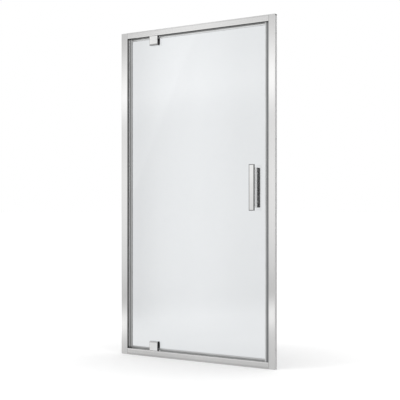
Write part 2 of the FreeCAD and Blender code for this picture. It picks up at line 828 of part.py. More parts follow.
def handle_sleeves():
    """Plastic sleeves that keep the studs off the glass."""
    sleeves = []
    for level in handle_hole_levels():
        start = Vector(web_x, glass_front_y, level)
        sleeve = rod(start, INWARDS, sleeve_radius, glass_thickness)
        sleeves.append(sleeve.cut(screw_hole(start, INWARDS, stud_radius + thread_clearance,
                                             glass_thickness)))
    return sleeves


def handle_gasket(y0, y1):
    """Thin strip between the glass and a half of the handle, holed for the studs."""
    strip = facing(rectangle(web_left + gasket_inset, web_right - gasket_inset,
                             web_bottom + gasket_inset, web_top - gasket_inset), y0, y1)
    return strip.cut([screw_hole(Vector(web_x, y0, level), INWARDS,
                                 stud_radius + thread_clearance, y1 - y0)
                      for level in handle_hole_levels()])


def handle():
    """Both halves of the handle and what ties them together."""
    outside_depth = web_back_y - web_front_y
    half = plate_width / 2
    grub_holes = [screw_hole(place, -ALONG, grub_radius + thread_clearance, length)
                  for place, length in grub_screw_places()]
    inside_web = handle_web(inside_web_y, inside_web_depth, INWARDS, stud_in_inside_web)
    plate_screws = handle_plate_screws(web_back_y, outside_depth, -INWARDS, plate_screw_in_plate)
    plate_screws += handle_plate_screws(inside_web_y, inside_web_depth, INWARDS,
                                        plate_screw_in_inside_plate)
    return {
        "handle_outside_plate": pull_plate(handle_x - half, handle_x + half, plate_length,
                                           web_front_y, plate_thickness, -INWARDS,
                                           plate_screw_in_plate),
        "handle_outside_web": handle_web(web_back_y, outside_depth, -INWARDS, stud_in_web),
        "handle_inside_web": inside_web.cut(grub_holes),
        "handle_inside_plate": pull_plate(web_right - inside_plate_width, web_right, web_length,
                                          inside_plate_y, inside_plate_thickness, INWARDS,
                                          plate_screw_in_inside_plate),
        "handle_outside_gasket": handle_gasket(web_back_y, glass_front_y),
        "handle_inside_gasket": handle_gasket(glass_back_y, inside_web_y),
        "handle_plate_screws": Part.makeCompound(plate_screws),
        "handle_studs": Part.makeCompound(handle_studs()),
        "handle_sleeves": Part.makeCompound(handle_sleeves()),
        "handle_grub_screws": Part.makeCompound(handle_grub_screws()),
    }


# ------------------------------------------------------------- put together
def build():
    """Every piece of the door under the name of its node."""
    nodes = {}

    hinge = jamb_side(hinge_jamb_face)
    strike = jamb_side(strike_jamb_face)
    to_hinge_wall = Vector(-frame_width / 2, 0, 0)
    to_strike_wall = Vector(frame_width / 2, 0, 0)

    def at_hinge(shape):
        return shape.translated(to_hinge_wall)

    def at_strike(shape):
        return shape.mirror(ORIGIN, ALONG).translated(to_strike_wall)

    nodes["hinge_jamb"] = at_hinge(hinge["jamb"])
    nodes["strike_jamb"] = at_strike(strike["jamb"])
    nodes["hinge_wall_channel"] = at_hinge(hinge["channel"])
    nodes["strike_wall_channel"] = at_strike(strike["channel"])
    nodes["hinge_jamb_cap"] = at_hinge(hinge["cap"])
    nodes["strike_jamb_cap"] = at_strike(strike["cap"])
    for name, key in (("corner_screws", "corner_screws"), ("channel_screws", "fixing_screws"),
                      ("channel_screw_covers", "covers")):
        pieces = [at_hinge(piece) for piece in hinge[key]]
        pieces += [at_strike(piece) for piece in strike[key]]
        nodes[name] = Part.makeCompound(pieces)

    sill = sill_assembly()
    for place, put in (("sill", as_drawn), ("head", mirrored_in_z)):
        nodes[place + "_rail"] = put(sill["rail"])
        nodes[place + "_pivot_insert"] = put(sill["insert"])
        nodes[place + "_pivot_bush"] = put(sill["bush"])
        nodes[place + "_insert_screws"] = Part.makeCompound([put(s) for s in sill["screws"]])

    nodes["hinge_jamb_seal"] = hinge_post()
    nodes["strike_jamb_seal"], nodes["strike_jamb_magnet"] = strike_post()

    nodes["glass_pane"] = glass_pane()
    nodes["hinge_edge_seal"] = hinge_edge_seal()
    nodes["strike_edge_seal"], nodes["strike_edge_magnet"] = strike_edge_seal()
    for side, (x0, x1) in zip(("hinge_side", "handle_side"), rail_seal_spans()):
        nodes["bottom_seal_" + side] = lengthwise(bottom_seal_profile(), x0, x1)
        nodes["top_seal_" + side] = lengthwise(top_seal_profile(), x0, x1)

    pivot = lower_pivot()
    for place, put in (("lower", as_drawn), ("upper", mirrored_in_z)):
        for piece in ("block", "inner_plate", "outer_gasket", "inner_gasket", "pin"):
            nodes[place + "_pivot_" + piece] = put(pivot[piece])
        screws = [put(screw) for screw in pivot["clamp_screws"]]
        nodes[place + "_clamp_screws"] = Part.makeCompound(screws)

    nodes.update(handle())
    return nodes


os.makedirs("parts", exist_ok=True)
for node, shape in build().items():
    shape.exportStep("parts/" + node + ".step")
    print(f"{node:28s} {len(shape.Solids)} solids  {shape.Volume / 1000:9.2f} cm3")
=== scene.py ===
# %% [markdown]
# # A framed pivot shower door
#
# This lesson dresses a shower door: a bright metal frame, one leaf of clear glass, two polished
# pivot blocks and a square pull handle. The construction arrives finished, as a fixed frame in
# metres, and nothing in it is moved. What is left to do is what the eye judges: how drawn
# aluminium, polished metal, glass and soft seals take the light.

# %% Load the construction
import math

import bpy
import numpy as np
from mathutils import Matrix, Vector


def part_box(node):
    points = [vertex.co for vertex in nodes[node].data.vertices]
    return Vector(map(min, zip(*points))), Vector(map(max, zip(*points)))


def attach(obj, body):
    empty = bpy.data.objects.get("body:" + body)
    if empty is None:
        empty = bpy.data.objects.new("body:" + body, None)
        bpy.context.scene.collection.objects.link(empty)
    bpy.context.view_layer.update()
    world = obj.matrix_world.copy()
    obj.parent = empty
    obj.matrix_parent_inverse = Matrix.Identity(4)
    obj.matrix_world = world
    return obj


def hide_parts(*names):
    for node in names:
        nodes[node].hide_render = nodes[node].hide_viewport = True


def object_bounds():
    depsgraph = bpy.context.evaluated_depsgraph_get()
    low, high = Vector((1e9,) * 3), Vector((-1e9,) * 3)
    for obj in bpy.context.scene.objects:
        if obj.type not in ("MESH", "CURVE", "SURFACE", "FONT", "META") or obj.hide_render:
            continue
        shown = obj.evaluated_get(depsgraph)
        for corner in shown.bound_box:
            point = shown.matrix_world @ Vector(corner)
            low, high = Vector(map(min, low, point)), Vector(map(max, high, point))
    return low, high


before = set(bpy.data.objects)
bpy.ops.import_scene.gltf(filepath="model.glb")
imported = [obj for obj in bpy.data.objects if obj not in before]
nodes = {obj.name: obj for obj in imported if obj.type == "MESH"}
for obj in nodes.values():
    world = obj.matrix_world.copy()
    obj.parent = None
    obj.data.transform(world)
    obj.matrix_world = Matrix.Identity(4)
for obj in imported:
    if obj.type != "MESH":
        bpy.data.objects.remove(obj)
construction_box = [[float(value) for value in corner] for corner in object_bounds()]
print("nodes:", len(nodes), "box:", construction_box)

# %% [markdown]
# ## The camera
#
# The picture is taken from the right of the door, at chest height, with the camera held level.
# Uprights then stay upright, and only the sill and the head run to a vanishing point. A level
# camera that still shows the door in the middle of the picture needs a small vertical shift, as
# on an architect's camera, and not a tilt.

# %% Camera
camera_place = (2.6467, -4.1098, 0.823)
camera_turn = math.radians(32.47)
sensor_width = 36.0
focal_length = 79.97
upward_shift = 0.0285

camera_data = bpy.data.cameras.new("view_camera")
camera_data.sensor_width = sensor_width
camera_data.lens = focal_length
camera_data.shift_y = upward_shift
camera = bpy.data.objects.new("view_camera", camera_data)
camera.location = camera_place
camera.rotation_euler = (math.radians(90), 0, camera_turn)
bpy.context.scene.collection.objects.link(camera)
bpy.context.scene.camera = camera
bpy.context.scene.view_settings.view_transform = "Standard"
print("horizontal field of view:", round(math.degrees(camera_data.angle), 2), "degrees")

# %% [markdown]
# ## Small helpers for node trees
#
# Every finish below is a small network of nodes. These helpers keep each network readable: one
# adds a node with its settings, one joins sockets by name, and one does arithmetic.


# %% Node helpers
def add_node(tree, kind, values=None, **settings):
    """Adds a node, sets its properties, and gives its input sockets their values."""
    node = tree.nodes.new(kind)
    for name, value in settings.items():
        setattr(node, name, value)
    for name, value in (values or {}).items():
        node.inputs[name].default_value = value
    return node


def join(tree, source, target):
    """Joins an output socket to an input socket."""
    tree.links.new(source, target)


def feed(tree, operand, socket):
    """Joins an output socket to an input, or gives the input a plain value."""
    if isinstance(operand, bpy.types.NodeSocket):
        join(tree, operand, socket)
    else:
        socket.default_value = operand


def arithmetic(tree, operation, first, second=None, third=None, clamp=False):
    """One Math node. Each operand is a number or an output socket."""
    node = add_node(tree, "ShaderNodeMath", operation=operation, use_clamp=clamp)
    for socket, operand in zip(node.inputs, (first, second, third)):
        if operand is not None:
            feed(tree, operand, socket)
    return node.outputs[0]


def remap(tree, value, low, high, new_low, new_high, smooth=False):
    """Carries a value from one range to another, and stops at the ends of the new range."""
    node = add_node(tree, "ShaderNodeMapRange", interpolation_type="SMOOTHSTEP" if smooth else "LINEAR")
    join(tree, value, node.inputs["Value"])
    for name, number in (("From Min", low), ("From Max", high), ("To Min", new_low), ("To Max", new_high)):
        node.inputs[name].default_value = number
    return node.outputs["Result"]


def grey_ramp(tree, value, stops):
    """Grey level that follows the stops. Each stop is a value and a level, the lowest value first."""
    low, high = stops[0][0], stops[-1][0]
    node = add_node(tree, "ShaderNodeValToRGB")
    elements = node.color_ramp.elements
    elements[0].color = grey(stops[0][1])
    elements[1].color = grey(stops[-1][1])
    for place, level in stops[1:-1]:
        elements.new((place - low) / (high - low)).color = grey(level)
    join(tree, remap(tree, value, low, high, 0, 1), node.inputs["Fac"])
    return node.outputs["Color"]


def mix_colour(tree, factor, first, second, blend="MIX"):
    """Blends two colours. Each is a tuple or an output socket, and so may be the factor."""
    node = add_node(tree, "ShaderNodeMix", data_type="RGBA", blend_type=blend)
    for name, operand in (("Factor_Float", factor), ("A_Color", first), ("B_Color", second)):
        feed(tree, operand, next(entry for entry in node.inputs if entry.identifier == name))
    return next(entry for entry in node.outputs if entry.identifier == "Result_Color")


def grey(level):
    """Opaque grey."""
    return (level, level, level, 1)


def scaled(colour, factor):
    """Opaque colour, made darker or paler by a factor."""
    return tuple(channel * factor for channel in colour) + (1,)


def coordinate(tree, vector, axis):
    """One coordinate of a vector: 0 for X, 1 for Y and 2 for Z."""
    parts = add_node(tree, "ShaderNodeSeparateXYZ")
    join(tree, vector, parts.inputs[0])
    return parts.outputs[axis]


def shaded(tree, colour, level):
    """A colour socket, multiplied by a level."""
    return mix_colour(tree, 1.0, colour, level, "MULTIPLY")


def shaded_along(tree, colour, place, axis, stops):
    """A colour that gets darker and paler along an axis. A stop is a place and a level."""
    return shaded(tree, colour, grey_ramp(tree, coordinate(tree, place, axis), stops))


# %% [markdown]
# ## The studio
#
# Polished metal has no look of its own: it shows the room. A photographer's studio for such a
# door is a white sweep with a few large panels, and with black flags beside it that draw the
# edges. Here the sky plays the room. Seen directly it is plain white. In a reflection it has the
# panels: bright and dull bands in front of the door, and a dark flag behind it on the right,
# which darkens the right-hand sides of the polished pieces. A band is the long edge of a panel,
# so it is placed by how steeply a direction rises for each metre that it goes towards that panel.

# %% Sky in reflections
upper_heading = (0.218, -0.976, 0)      # the way to the panels above eye level
lower_heading = (-0.866, -0.5, 0)       # the way to the panels below it
upper_bands = [(0.0, 0.84), (0.06, 0.87), (0.11, 0.82), (0.145, 0.81), (0.165, 0.93), (0.182, 1.05),
               (0.196, 1.13), (0.212, 1.06), (0.2375, 0.92), (0.264, 0.77), (0.282, 0.685), (0.302, 0.58),
               (0.36, 0.80), (0.42, 0.78), (0.50, 0.68), (0.60, 0.60), (0.80, 0.60)]
lower_bands = [(-0.4, 0.50), (-0.28, 0.48), (-0.20, 0.56), (-0.172, 0.60), (-0.158, 0.67),
               (-0.147, 0.91), (-0.134, 1.08), (-0.123, 0.82), (-0.112, 0.59), (-0.10, 0.57),
               (-0.084, 0.665), (-0.06, 0.74), (-0.03, 0.80), (0.0, 0.84)]
upper_panel = [(0.53, 1.0), (0.5425, 1.02), (0.5527, 1.10), (0.575, 1.12), (0.6053, 1.22),
               (0.6364, 1.28), (0.6685, 1.29), (0.7015, 1.21), (0.73, 1.13), (0.75, 0.97), (0.76, 1.0)]
lower_panel = [(0.53, 1.12), (0.536, 1.12), (0.5425, 0.98), (0.5527, 0.95), (0.575, 0.96),
               (0.6053, 1.06), (0.6364, 1.10), (0.6685, 0.955), (0.7015, 0.88), (0.73, 0.81),
               (0.75, 0.86), (0.757, 1.0)]
back_levels = [(0.0, 0.92), (0.45, 0.92), (0.50, 1.0), (0.518, 1.38), (0.534, 1.44), (0.5395, 0.07),
               (0.60, 0.05), (0.66, 0.03), (0.765, 0.05), (0.80, 0.40), (0.86, 0.72), (1.0, 0.80), (2.0, 0.9)]
left_levels = [(-0.66, 0.75), (-0.58, 0.10), (-0.18, 0.06), (-0.06, 0.55), (0.50, 0.66), (0.62, 0.70)]
high_levels = [(0.45, 0.80), (0.55, 0.62), (0.80, 0.55), (0.90, 0.85), (1.0, 0.95)]
low_levels = [(-1.0, 0.85), (-0.90, 0.75), (-0.80, 0.25), (-0.55, 0.30), (-0.45, 0.65)]
steep_range = (0.11, 0.15)              # how far up or down the middles of the panels begin
back_range = (-0.05, 0.05)              # where the front of the room gives way to its back
left_range = (-0.74, -0.80)             # to its left side
high_range = (0.38, 0.50)               # to what is overhead
low_range = (-0.40, -0.55)              # and to what is underfoot
least_ahead, least_depth = 0.2, 0.05    # smallest divisors, so that no quotient runs away

world = bpy.data.worlds.new("studio")
bpy.context.scene.world = world
world.use_nodes = True
sky = world.node_tree
sky.nodes.clear()
direction = add_node(sky, "ShaderNodeTexCoord").outputs["Generated"]
right, back, up = (coordinate(sky, direction, axis) for axis in range(3))


def rise_towards(heading):
    """How far a direction rises for each metre that it goes towards the heading."""
    ahead = add_node(sky, "ShaderNodeVectorMath", operation="DOT_PRODUCT")
    join(sky, direction, ahead.inputs[0])
    ahead.inputs[1].default_value = heading
    return arithmetic(sky, "DIVIDE", up, arithmetic(sky, "MAXIMUM", ahead.outputs["Value"], least_ahead))


above_eye = arithmetic(sky, "GREATER_THAN", up, 0.0)
front_level = mix_colour(sky, above_eye, grey_ramp(sky, rise_towards(lower_heading), lower_bands),
                         grey_ramp(sky, rise_towards(upper_heading), upper_bands))
across = arithmetic(sky, "DIVIDE", right, arithmetic(sky, "MINIMUM", back, -least_depth))
steep = remap(sky, arithmetic(sky, "ABSOLUTE", up), *steep_range, 0, 1, smooth=True)
panel_middle = mix_colour(sky, above_eye, grey_ramp(sky, across, lower_panel),
                          grey_ramp(sky, across, upper_panel))
front_level = shaded(sky, front_level, mix_colour(sky, steep, grey(1), panel_middle))
aside = arithmetic(sky, "DIVIDE", right, arithmetic(sky, "MAXIMUM", back, least_depth))
studio_level = front_level
for value, limits, smooth, level in ((back, back_range, False, grey_ramp(sky, aside, back_levels)),
                                     (right, left_range, False, grey_ramp(sky, back, left_levels)),
                                     (up, high_range, True, grey_ramp(sky, up, high_levels)),
                                     (up, low_range, True, grey_ramp(sky, up, low_levels))):
    studio_level = mix_colour(sky, remap(sky, value, *limits, 0, 1, smooth=smooth), studio_level, level)

# %% [markdown]
# Through the glass the white sweep is darkened a little, and then its own unevenness shows: it is
# brightest in the middle, where its lamp points, it falls off to the left, and the lamp's upper
# left corner draws one faint slanting edge.

# %% Sky through the glass
sweep_glow = [(0.45, 0.92), (0.543, 0.94), (0.5675, 0.947), (0.582, 0.955), (0.605, 0.981), (0.64, 1.0),
              (0.6765, 0.986), (0.7016, 0.957), (0.7184, 0.918), (0.7356, 0.88), (0.80, 0.87), (1.0, 0.95)]
corner_line = (0.8667, 0.4992, 0.6569)  # weight of the way left, weight of the rise, and the edge
corner_gain, corner_blur = 0.030, 0.004
upper_gain, upper_range = 0.020, (0.05, 0.17)
foot_glow = [(-0.170, 0.935), (-0.155, 0.965), (-0.145, 0.99), (-0.13, 0.99)]
foot_range = (-0.145, -0.11)            # where the foot of the sweep gives way to its wall

left = arithmetic(sky, "MULTIPLY", aside, -1)
rise = arithmetic(sky, "DIVIDE", up, arithmetic(
    sky, "SQRT", arithmetic(sky, "SUBTRACT", 1.0, arithmetic(sky, "MULTIPLY", up, up))))
falloff = remap(sky, rise, *foot_range, 0, 1, smooth=True)
glow = mix_colour(sky, falloff, grey_ramp(sky, rise, foot_glow), grey_ramp(sky, left, sweep_glow))
beyond = arithmetic(sky, "MULTIPLY_ADD", left, corner_line[0],
                    arithmetic(sky, "MULTIPLY_ADD", rise, corner_line[1], -corner_line[2]))
corner = remap(sky, beyond, -corner_blur, corner_blur, 0, corner_gain, smooth=True)
higher = remap(sky, rise, *upper_range, 0, upper_gain, smooth=True)
lighter = arithmetic(sky, "ADD", arithmetic(sky, "ADD", corner, higher), 1.0)
glow_level = arithmetic(sky, "MULTIPLY", glow, lighter)

# %% [markdown]
# A ray that has met metal sees the panels, and one that went straight through the pane sees the
# sweep. After two mirrors the light is dim, as between the blocks and the rails. Everything else
# gets an even soft light, and the camera sees plain white.

# %% Which sky a ray gets
soft_light, twice_mirrored = 0.80, 0.22
light_path = add_node(sky, "ShaderNodeLightPath")
after_mirror = arithmetic(sky, "GREATER_THAN", light_path.outputs["Glossy Depth"], 0.5)
through_glass = light_path.outputs["Is Transmission Ray"]
reflected = arithmetic(sky, "MAXIMUM", light_path.outputs["Is Glossy Ray"],
                       arithmetic(sky, "MULTIPLY", through_glass, after_mirror))
second_mirror = arithmetic(sky, "GREATER_THAN", light_path.outputs["Glossy Depth"], 1.5)
studio_level = mix_colour(sky, second_mirror, studio_level, grey(twice_mirrored))
seen_through = arithmetic(sky, "SUBTRACT", through_glass, after_mirror, clamp=True)
sky_colour = mix_colour(sky, reflected, grey(soft_light), studio_level)
sky_colour = mix_colour(sky, seen_through, sky_colour, glow_level)
sky_colour = mix_colour(sky, light_path.outputs["Is Camera Ray"], sky_colour, grey(1))
background = add_node(sky, "ShaderNodeBackground", {"Strength": 1.0})
join(sky, sky_colour, background.inputs["Color"])
join(sky, background.outputs[0], add_node(sky, "ShaderNodeOutputWorld").inputs["Surface"])
print("sky nodes:", len(sky.nodes))

# %% [markdown]
# Two large soft lamps give the door its shadow on the floor. They stay out of reflections and out
# of what is seen through the glass, since the panels of the sky stand for them there.


# %% Lamps
def panel_lamp(name, place, aim, size, power):
    """Rectangular soft lamp at a place, turned so that its face looks at the aim."""
    data = bpy.data.lights.new(name, "AREA")
    data.shape = "RECTANGLE"
    data.size, data.size_y = size
    data.energy = power
    lamp = bpy.data.objects.new(name, data)
    lamp.location = place
    away = np.array(place) - np.array(aim)
    lamp.rotation_euler = (math.acos(away[2] / np.linalg.norm(away)), 0,
                           math.atan2(away[1], away[0]) + math.pi / 2)
    bpy.context.scene.collection.objects.link(lamp)
    return lamp


door_middle = (0, 0, 0.9)
key_lamp = panel_lamp("key_panel", (-2.6, -3.4, 3.2), door_middle, (2.4, 2.4), 55)
fill_lamp = panel_lamp("fill_panel", (3.4, -1.2, 2.6), door_middle, (2.0, 2.0), 18)
for lamp in (key_lamp, fill_lamp):
    lamp.visible_glossy = False
    lamp.visible_transmission = False

# %% [markdown]
# ## The floor
#
# The door stands on a pale floor that runs into the white background. The floor is matt, so it
# takes the soft shadow of the frame. Away from the door a little light of its own lifts it to
# white for the camera and through the glass. Near the door less of that light is given, so the
# shadow isn't washed out, and this paints a darker patch round the door: painted shadow on top
# of the real one.

# %% Floor
floor_reach = 400.0
floor_colour = 0.92
near_lift, far_lift = 0.14, 0.30
lift_from, lift_to = 0.25, 1.25
# Painted shadow: the patch of lesser glow round the door.
squeeze, middle_left = 0.8, 0.12        # the darker patch is longer along X, and lies a little left

floor_data = bpy.data.meshes.new("floor")
reach_corners = [(-floor_reach, -floor_reach, 0), (floor_reach, -floor_reach, 0),
                 (floor_reach, floor_reach, 0), (-floor_reach, floor_reach, 0)]
floor_data.from_pydata(reach_corners, [], [(0, 1, 2, 3)])
floor = bpy.data.objects.new("floor", floor_data)
floor.visible_glossy = False
floor.visible_transmission = False
bpy.context.scene.collection.objects.link(floor)

floor_finish = bpy.data.materials.new("floor_paper")
floor_finish.use_nodes = True
tree = floor_finish.node_tree
tree.nodes.clear()
paper = add_node(tree, "ShaderNodeBsdfDiffuse", {"Color": grey(floor_colour)})
glow = add_node(tree, "ShaderNodeEmission", {"Color": grey(1)})
path = add_node(tree, "ShaderNodeLightPath")
seen = arithmetic(tree, "MAXIMUM", path.outputs["Is Camera Ray"], path.outputs["Is Transmission Ray"])
shifted = add_node(tree, "ShaderNodeMapping",
                   {"Location": (middle_left * squeeze, 0, 0), "Scale": (squeeze, 1, 1)})
join(tree, add_node(tree, "ShaderNodeTexCoord").outputs["Object"], shifted.inputs["Vector"])
away = add_node(tree, "ShaderNodeVectorMath", operation="LENGTH")
join(tree, shifted.outputs["Vector"], away.inputs[0])
lift = remap(tree, away.outputs["Value"], lift_from, lift_to, near_lift, far_lift, smooth=True)
join(tree, arithmetic(tree, "MULTIPLY", seen, lift), glow.inputs["Strength"])
both = add_node(tree, "ShaderNodeAddShader")
join(tree, paper.outputs[0], both.inputs[0])
join(tree, glow.outputs[0], both.inputs[1])
join(tree, both.outputs[0], add_node(tree, "ShaderNodeOutputMaterial").inputs["Surface"])
floor.data.materials.append(floor_finish)

# %% [markdown]
# ## Effects that several finishes share
#
# Three things happen to many of these surfaces. An extrusion or a drawn bar carries fine lines
# along its length. Anything handled and wiped carries faint cloudy marks, seen only in how it
# shines. And every moulded or cast surface has a fine tooth. Each is a node group with named
# inputs, so that every finish sets its own scale and strength.


# %% Shared effects
def new_group(name, inputs, outputs):
    """An empty shader group with its sockets, and its input and output nodes."""
    group = bpy.data.node_groups.new(name, "ShaderNodeTree")
    for socket_name, kind, value in inputs:
        socket = group.interface.new_socket(socket_name, in_out="INPUT", socket_type=kind)
        if value is not None:
            socket.default_value = value
    for socket_name, kind in outputs:
        group.interface.new_socket(socket_name, in_out="OUTPUT", socket_type=kind)
    return group, group.nodes.new("NodeGroupInput").outputs, group.nodes.new("NodeGroupOutput").inputs


def noise(tree, vector, scale, detail, distortion=0.0):
    """Cloudy noise from 0 to 1. Its scale is a number or an output socket."""
    node = add_node(tree, "ShaderNodeTexNoise", {"Detail": detail, "Distortion": distortion})
    join(tree, vector, node.inputs["Vector"])
    feed(tree, scale, node.inputs["Scale"])
    return node.outputs["Fac"]


def make_drawn_lines():
    """Fine lines along one axis: noise on coordinates that are stretched along it."""
    group, given, result = new_group(
        "drawn_lines",
        [("Place", "NodeSocketVector", None), ("Lines per Metre", "NodeSocketVector", (900, 900, 2))],
        [("Fine", "NodeSocketFloat"), ("Broad", "NodeSocketFloat")])
    stretched = add_node(group, "ShaderNodeVectorMath", operation="MULTIPLY")
    join(group, given["Place"], stretched.inputs[0])
    join(group, given["Lines per Metre"], stretched.inputs[1])
    join(group, noise(group, stretched.outputs[0], 1.0, 3.0), result["Fine"])
    join(group, noise(group, stretched.outputs[0], 0.12, 2.0), result["Broad"])
    return group


def make_wiped_marks():
    """Cloudy marks in two sizes, left by hands and by wiping, from 0 to 1."""
    group, given, result = new_group(
        "wiped_marks",
        [("Place", "NodeSocketVector", None), ("Marks per Metre", "NodeSocketFloat", 9.0)],
        [("Mark", "NodeSocketFloat")])
    large = noise(group, given["Place"], given["Marks per Metre"], 4.0, 0.6)
    small = noise(group, given["Place"], arithmetic(group, "MULTIPLY", given["Marks per Metre"], 7.0), 2.0)
    both = arithmetic(group, "MULTIPLY_ADD", small, 0.3, arithmetic(group, "MULTIPLY", large, 0.7))
    join(group, remap(group, both, 0.35, 0.65, 0, 1, smooth=True), result["Mark"])
    return group


def make_fine_tooth():
    """Height of a matt moulded or blasted surface."""
    group, given, result = new_group(
        "fine_tooth",
        [("Place", "NodeSocketVector", None), ("Grains per Metre", "NodeSocketFloat", 1600.0)],
        [("Height", "NodeSocketFloat")])
    join(group, noise(group, given["Place"], given["Grains per Metre"], 2.0), result["Height"])
    return group


drawn_lines = make_drawn_lines()
wiped_marks = make_wiped_marks()
fine_tooth = make_fine_tooth()


def use_group(tree, group, place, **values):
    """Places a shared effect in a material and gives its inputs their values."""
    node = tree.nodes.new("ShaderNodeGroup")
    node.node_tree = group
    join(tree, place, node.inputs["Place"])
    for name, value in values.items():
        node.inputs[name.replace("_", " ")].default_value = value
    return node.outputs


def start_material(name, **settings):
    """A material with a Principled shader, and its place on the object in metres."""
    material = bpy.data.materials.new(name)
    material.use_nodes = True
    tree = material.node_tree
    shader = tree.nodes["Principled BSDF"]
    for socket, value in settings.items():
        shader.inputs[socket.replace("_", " ")].default_value = value
    place = add_node(tree, "ShaderNodeTexCoord").outputs["Object"]
    return material, tree, shader, place


def bump(tree, shader, height, strength, distance, rounding=0.0):
    """Turns a height into a disturbed normal, and may soften sharp edges by a radius."""
    node = add_node(tree, "ShaderNodeBump", {"Strength": strength, "Distance": distance})
    join(tree, height, node.inputs["Height"])
    if rounding:
        softer = add_node(tree, "ShaderNodeBevel", {"Radius": rounding}, samples=4)
        join(tree, softer.outputs["Normal"], node.inputs["Normal"])
    join(tree, node.outputs["Normal"], shader.inputs["Normal"])


def painted_edge_shade(tree, high, strength):
    """How much painted shade darkens a point, from the edge value that every new shape carries."""
    edge = add_node(tree, "ShaderNodeAttribute", attribute_name="edge").outputs["Fac"]
    return arithmetic(tree, "MULTIPLY", remap(tree, edge, 0.1, high, 0, 1, smooth=True), strength)


# %% [markdown]
# ## Drawn aluminium
#
# The frame is aluminium pressed through a die and anodised bright silver. The die leaves fine
# lines along every length, so an upright has lines along Z and a rail has lines along X. The
# same finish is made for both directions, with only the stretch of the pattern changed.


# %% Drawn aluminium
def drawn_aluminium(name, colour, roughness, lines, depth, recess=None, edge_shade=0.0,
                    shades=(), corner=None):
    """Anodised aluminium whose die lines run along the axis with the smallest value of lines.

    recess is an axis, the middle of the door along it, and how far from there the face towards
    the opening lies. That face gets painted shade, which makes it nearly black. edge_shade is how
    much painted shade darkens the eased edges. shades are pairs of an axis and stops, which give
    a place along it and how pale the metal is there. corner is painted shade in a corner: where
    the dark begins and ends along X, the same along Z, and how pale the metal is there.
    """
    material, tree, shader, place = start_material(name, Metallic=1.0)
    drawn = use_group(tree, drawn_lines, place, Lines_per_Metre=lines)
    marks = use_group(tree, wiped_marks, place, Marks_per_Metre=6.0)
    shade = remap(tree, drawn["Broad"], 0.3, 0.7, 0, 1)
    shade_colour = mix_colour(tree, shade, scaled(colour, 0.955), scaled(colour, 1))
    if recess:
        axis, middle_place, distance = recess
        # Painted shade: the face towards the opening is made nearly black.
        from_middle = arithmetic(tree, "SUBTRACT", coordinate(tree, place, axis), middle_place)
        outwards = arithmetic(tree, "ABSOLUTE", from_middle)
        inside = remap(tree, outwards, distance + 0.0006, distance + 0.0002, 0, 1)
        shade_colour = mix_colour(tree, inside, shade_colour, scaled(colour, 0.10))
    for axis, stops in shades:
        shade_colour = shaded_along(tree, shade_colour, place, axis, stops)
    # Painted shade in the corner under the head.
    if corner:
        along, upwards, level = corner
        corner_shade = arithmetic(tree, "MAXIMUM",
                               remap(tree, coordinate(tree, place, 0), *along, level, 1),
                               remap(tree, coordinate(tree, place, 2), *upwards, level, 1))
        shade_colour = shaded(tree, shade_colour, corner_shade)
    # Painted shade darkens the eased edges.
    if edge_shade:
        shade_colour = mix_colour(tree, painted_edge_shade(tree, 0.6, edge_shade), shade_colour, grey(0.10))
    join(tree, shade_colour, shader.inputs["Base Color"])
    rough = arithmetic(tree, "MULTIPLY_ADD", drawn["Fine"], 0.03, roughness - 0.015)
    rough = arithmetic(tree, "MULTIPLY_ADD", marks["Mark"], 0.02, rough)
    join(tree, rough, shader.inputs["Roughness"])
    bump(tree, shader, drawn["Fine"], 1.0, depth)
    return material


silver = (0.90, 0.897, 0.892)
up_lines, across_lines = (1400, 1400, 3), (3, 1400, 1400)
half_height = construction_box[1][2] / 2
rail_width = 0.035
hinge_upright, strike_upright = (
    drawn_aluminium(side + "_upright_aluminium", silver, 0.06, up_lines, 0.000001, (0, 0.0, opening))
    for side, opening in (("hinge", 0.4575), ("strike", 0.4615)))
# Painted shade near the foot of the sill and a painted highlight along its top edge.
sill_painted_light = [(0.0, 0.90), (0.0035, 0.88), (0.006, 0.80), (0.010, 0.84), (0.0125, 0.98), (0.028, 0.99),
             (0.031, 1.14), (0.035, 1.14)]
sill_aluminium = drawn_aluminium("sill_aluminium", silver, 0.09, across_lines, 0.00004, edge_shade=0.8,
                                 shades=[(2, sill_painted_light)])
# Painted shade: a dark line just under the head's top edge.
head_painted_line = [(1.815, 1.0), (1.8415, 1.0), (1.8430, 0.88), (1.8465, 0.88), (1.8480, 1.0)]
head_joint = [(-0.4575, 0.45), (-0.4563, 0.45), (-0.4559, 1.0), (0.0, 1.0)]
# Painted shade in the corner under the head at the hinge end.
head_aluminium = drawn_aluminium("head_aluminium", silver, 0.09, across_lines, 0.00004,
                                 (2, half_height, half_height - rail_width), edge_shade=0.8,
                                 shades=[(2, head_painted_line), (0, head_joint)],
                                 corner=((-0.412, -0.392), (1.8172, 1.8182), 0.40))
mill_aluminium = drawn_aluminium("mill_aluminium", (0.80, 0.80, 0.80), 0.34, (1100, 1100, 2), 0.00002)


def satin_aluminium():
    """Etched and anodised bar: pale, so matt that most of its light is spread evenly, lines along Z."""
    material, tree, shader, place = start_material("satin_aluminium", Metallic=0.20)
    drawn = use_group(tree, drawn_lines, place, Lines_per_Metre=up_lines)
    join(tree, mix_colour(tree, drawn["Broad"], (0.92, 0.92, 0.92, 1), (0.97, 0.97, 0.965, 1)),
         shader.inputs["Base Color"])
    join(tree, remap(tree, drawn["Fine"], 0.3, 0.7, 0.34, 0.44), shader.inputs["Roughness"])
    bump(tree, shader, drawn["Fine"], 0.6, 0.00001)
    return material


web_aluminium = satin_aluminium()


# %% [markdown]
# ## Polished and brushed steel
#
# The blocks and the plates are plated and polished. A perfect mirror looks false, because real
# plate is faintly uneven: its shine changes where it has been wiped, and the reflection bends a
# little. The screws and pins are plain stainless steel, turned and then brushed.


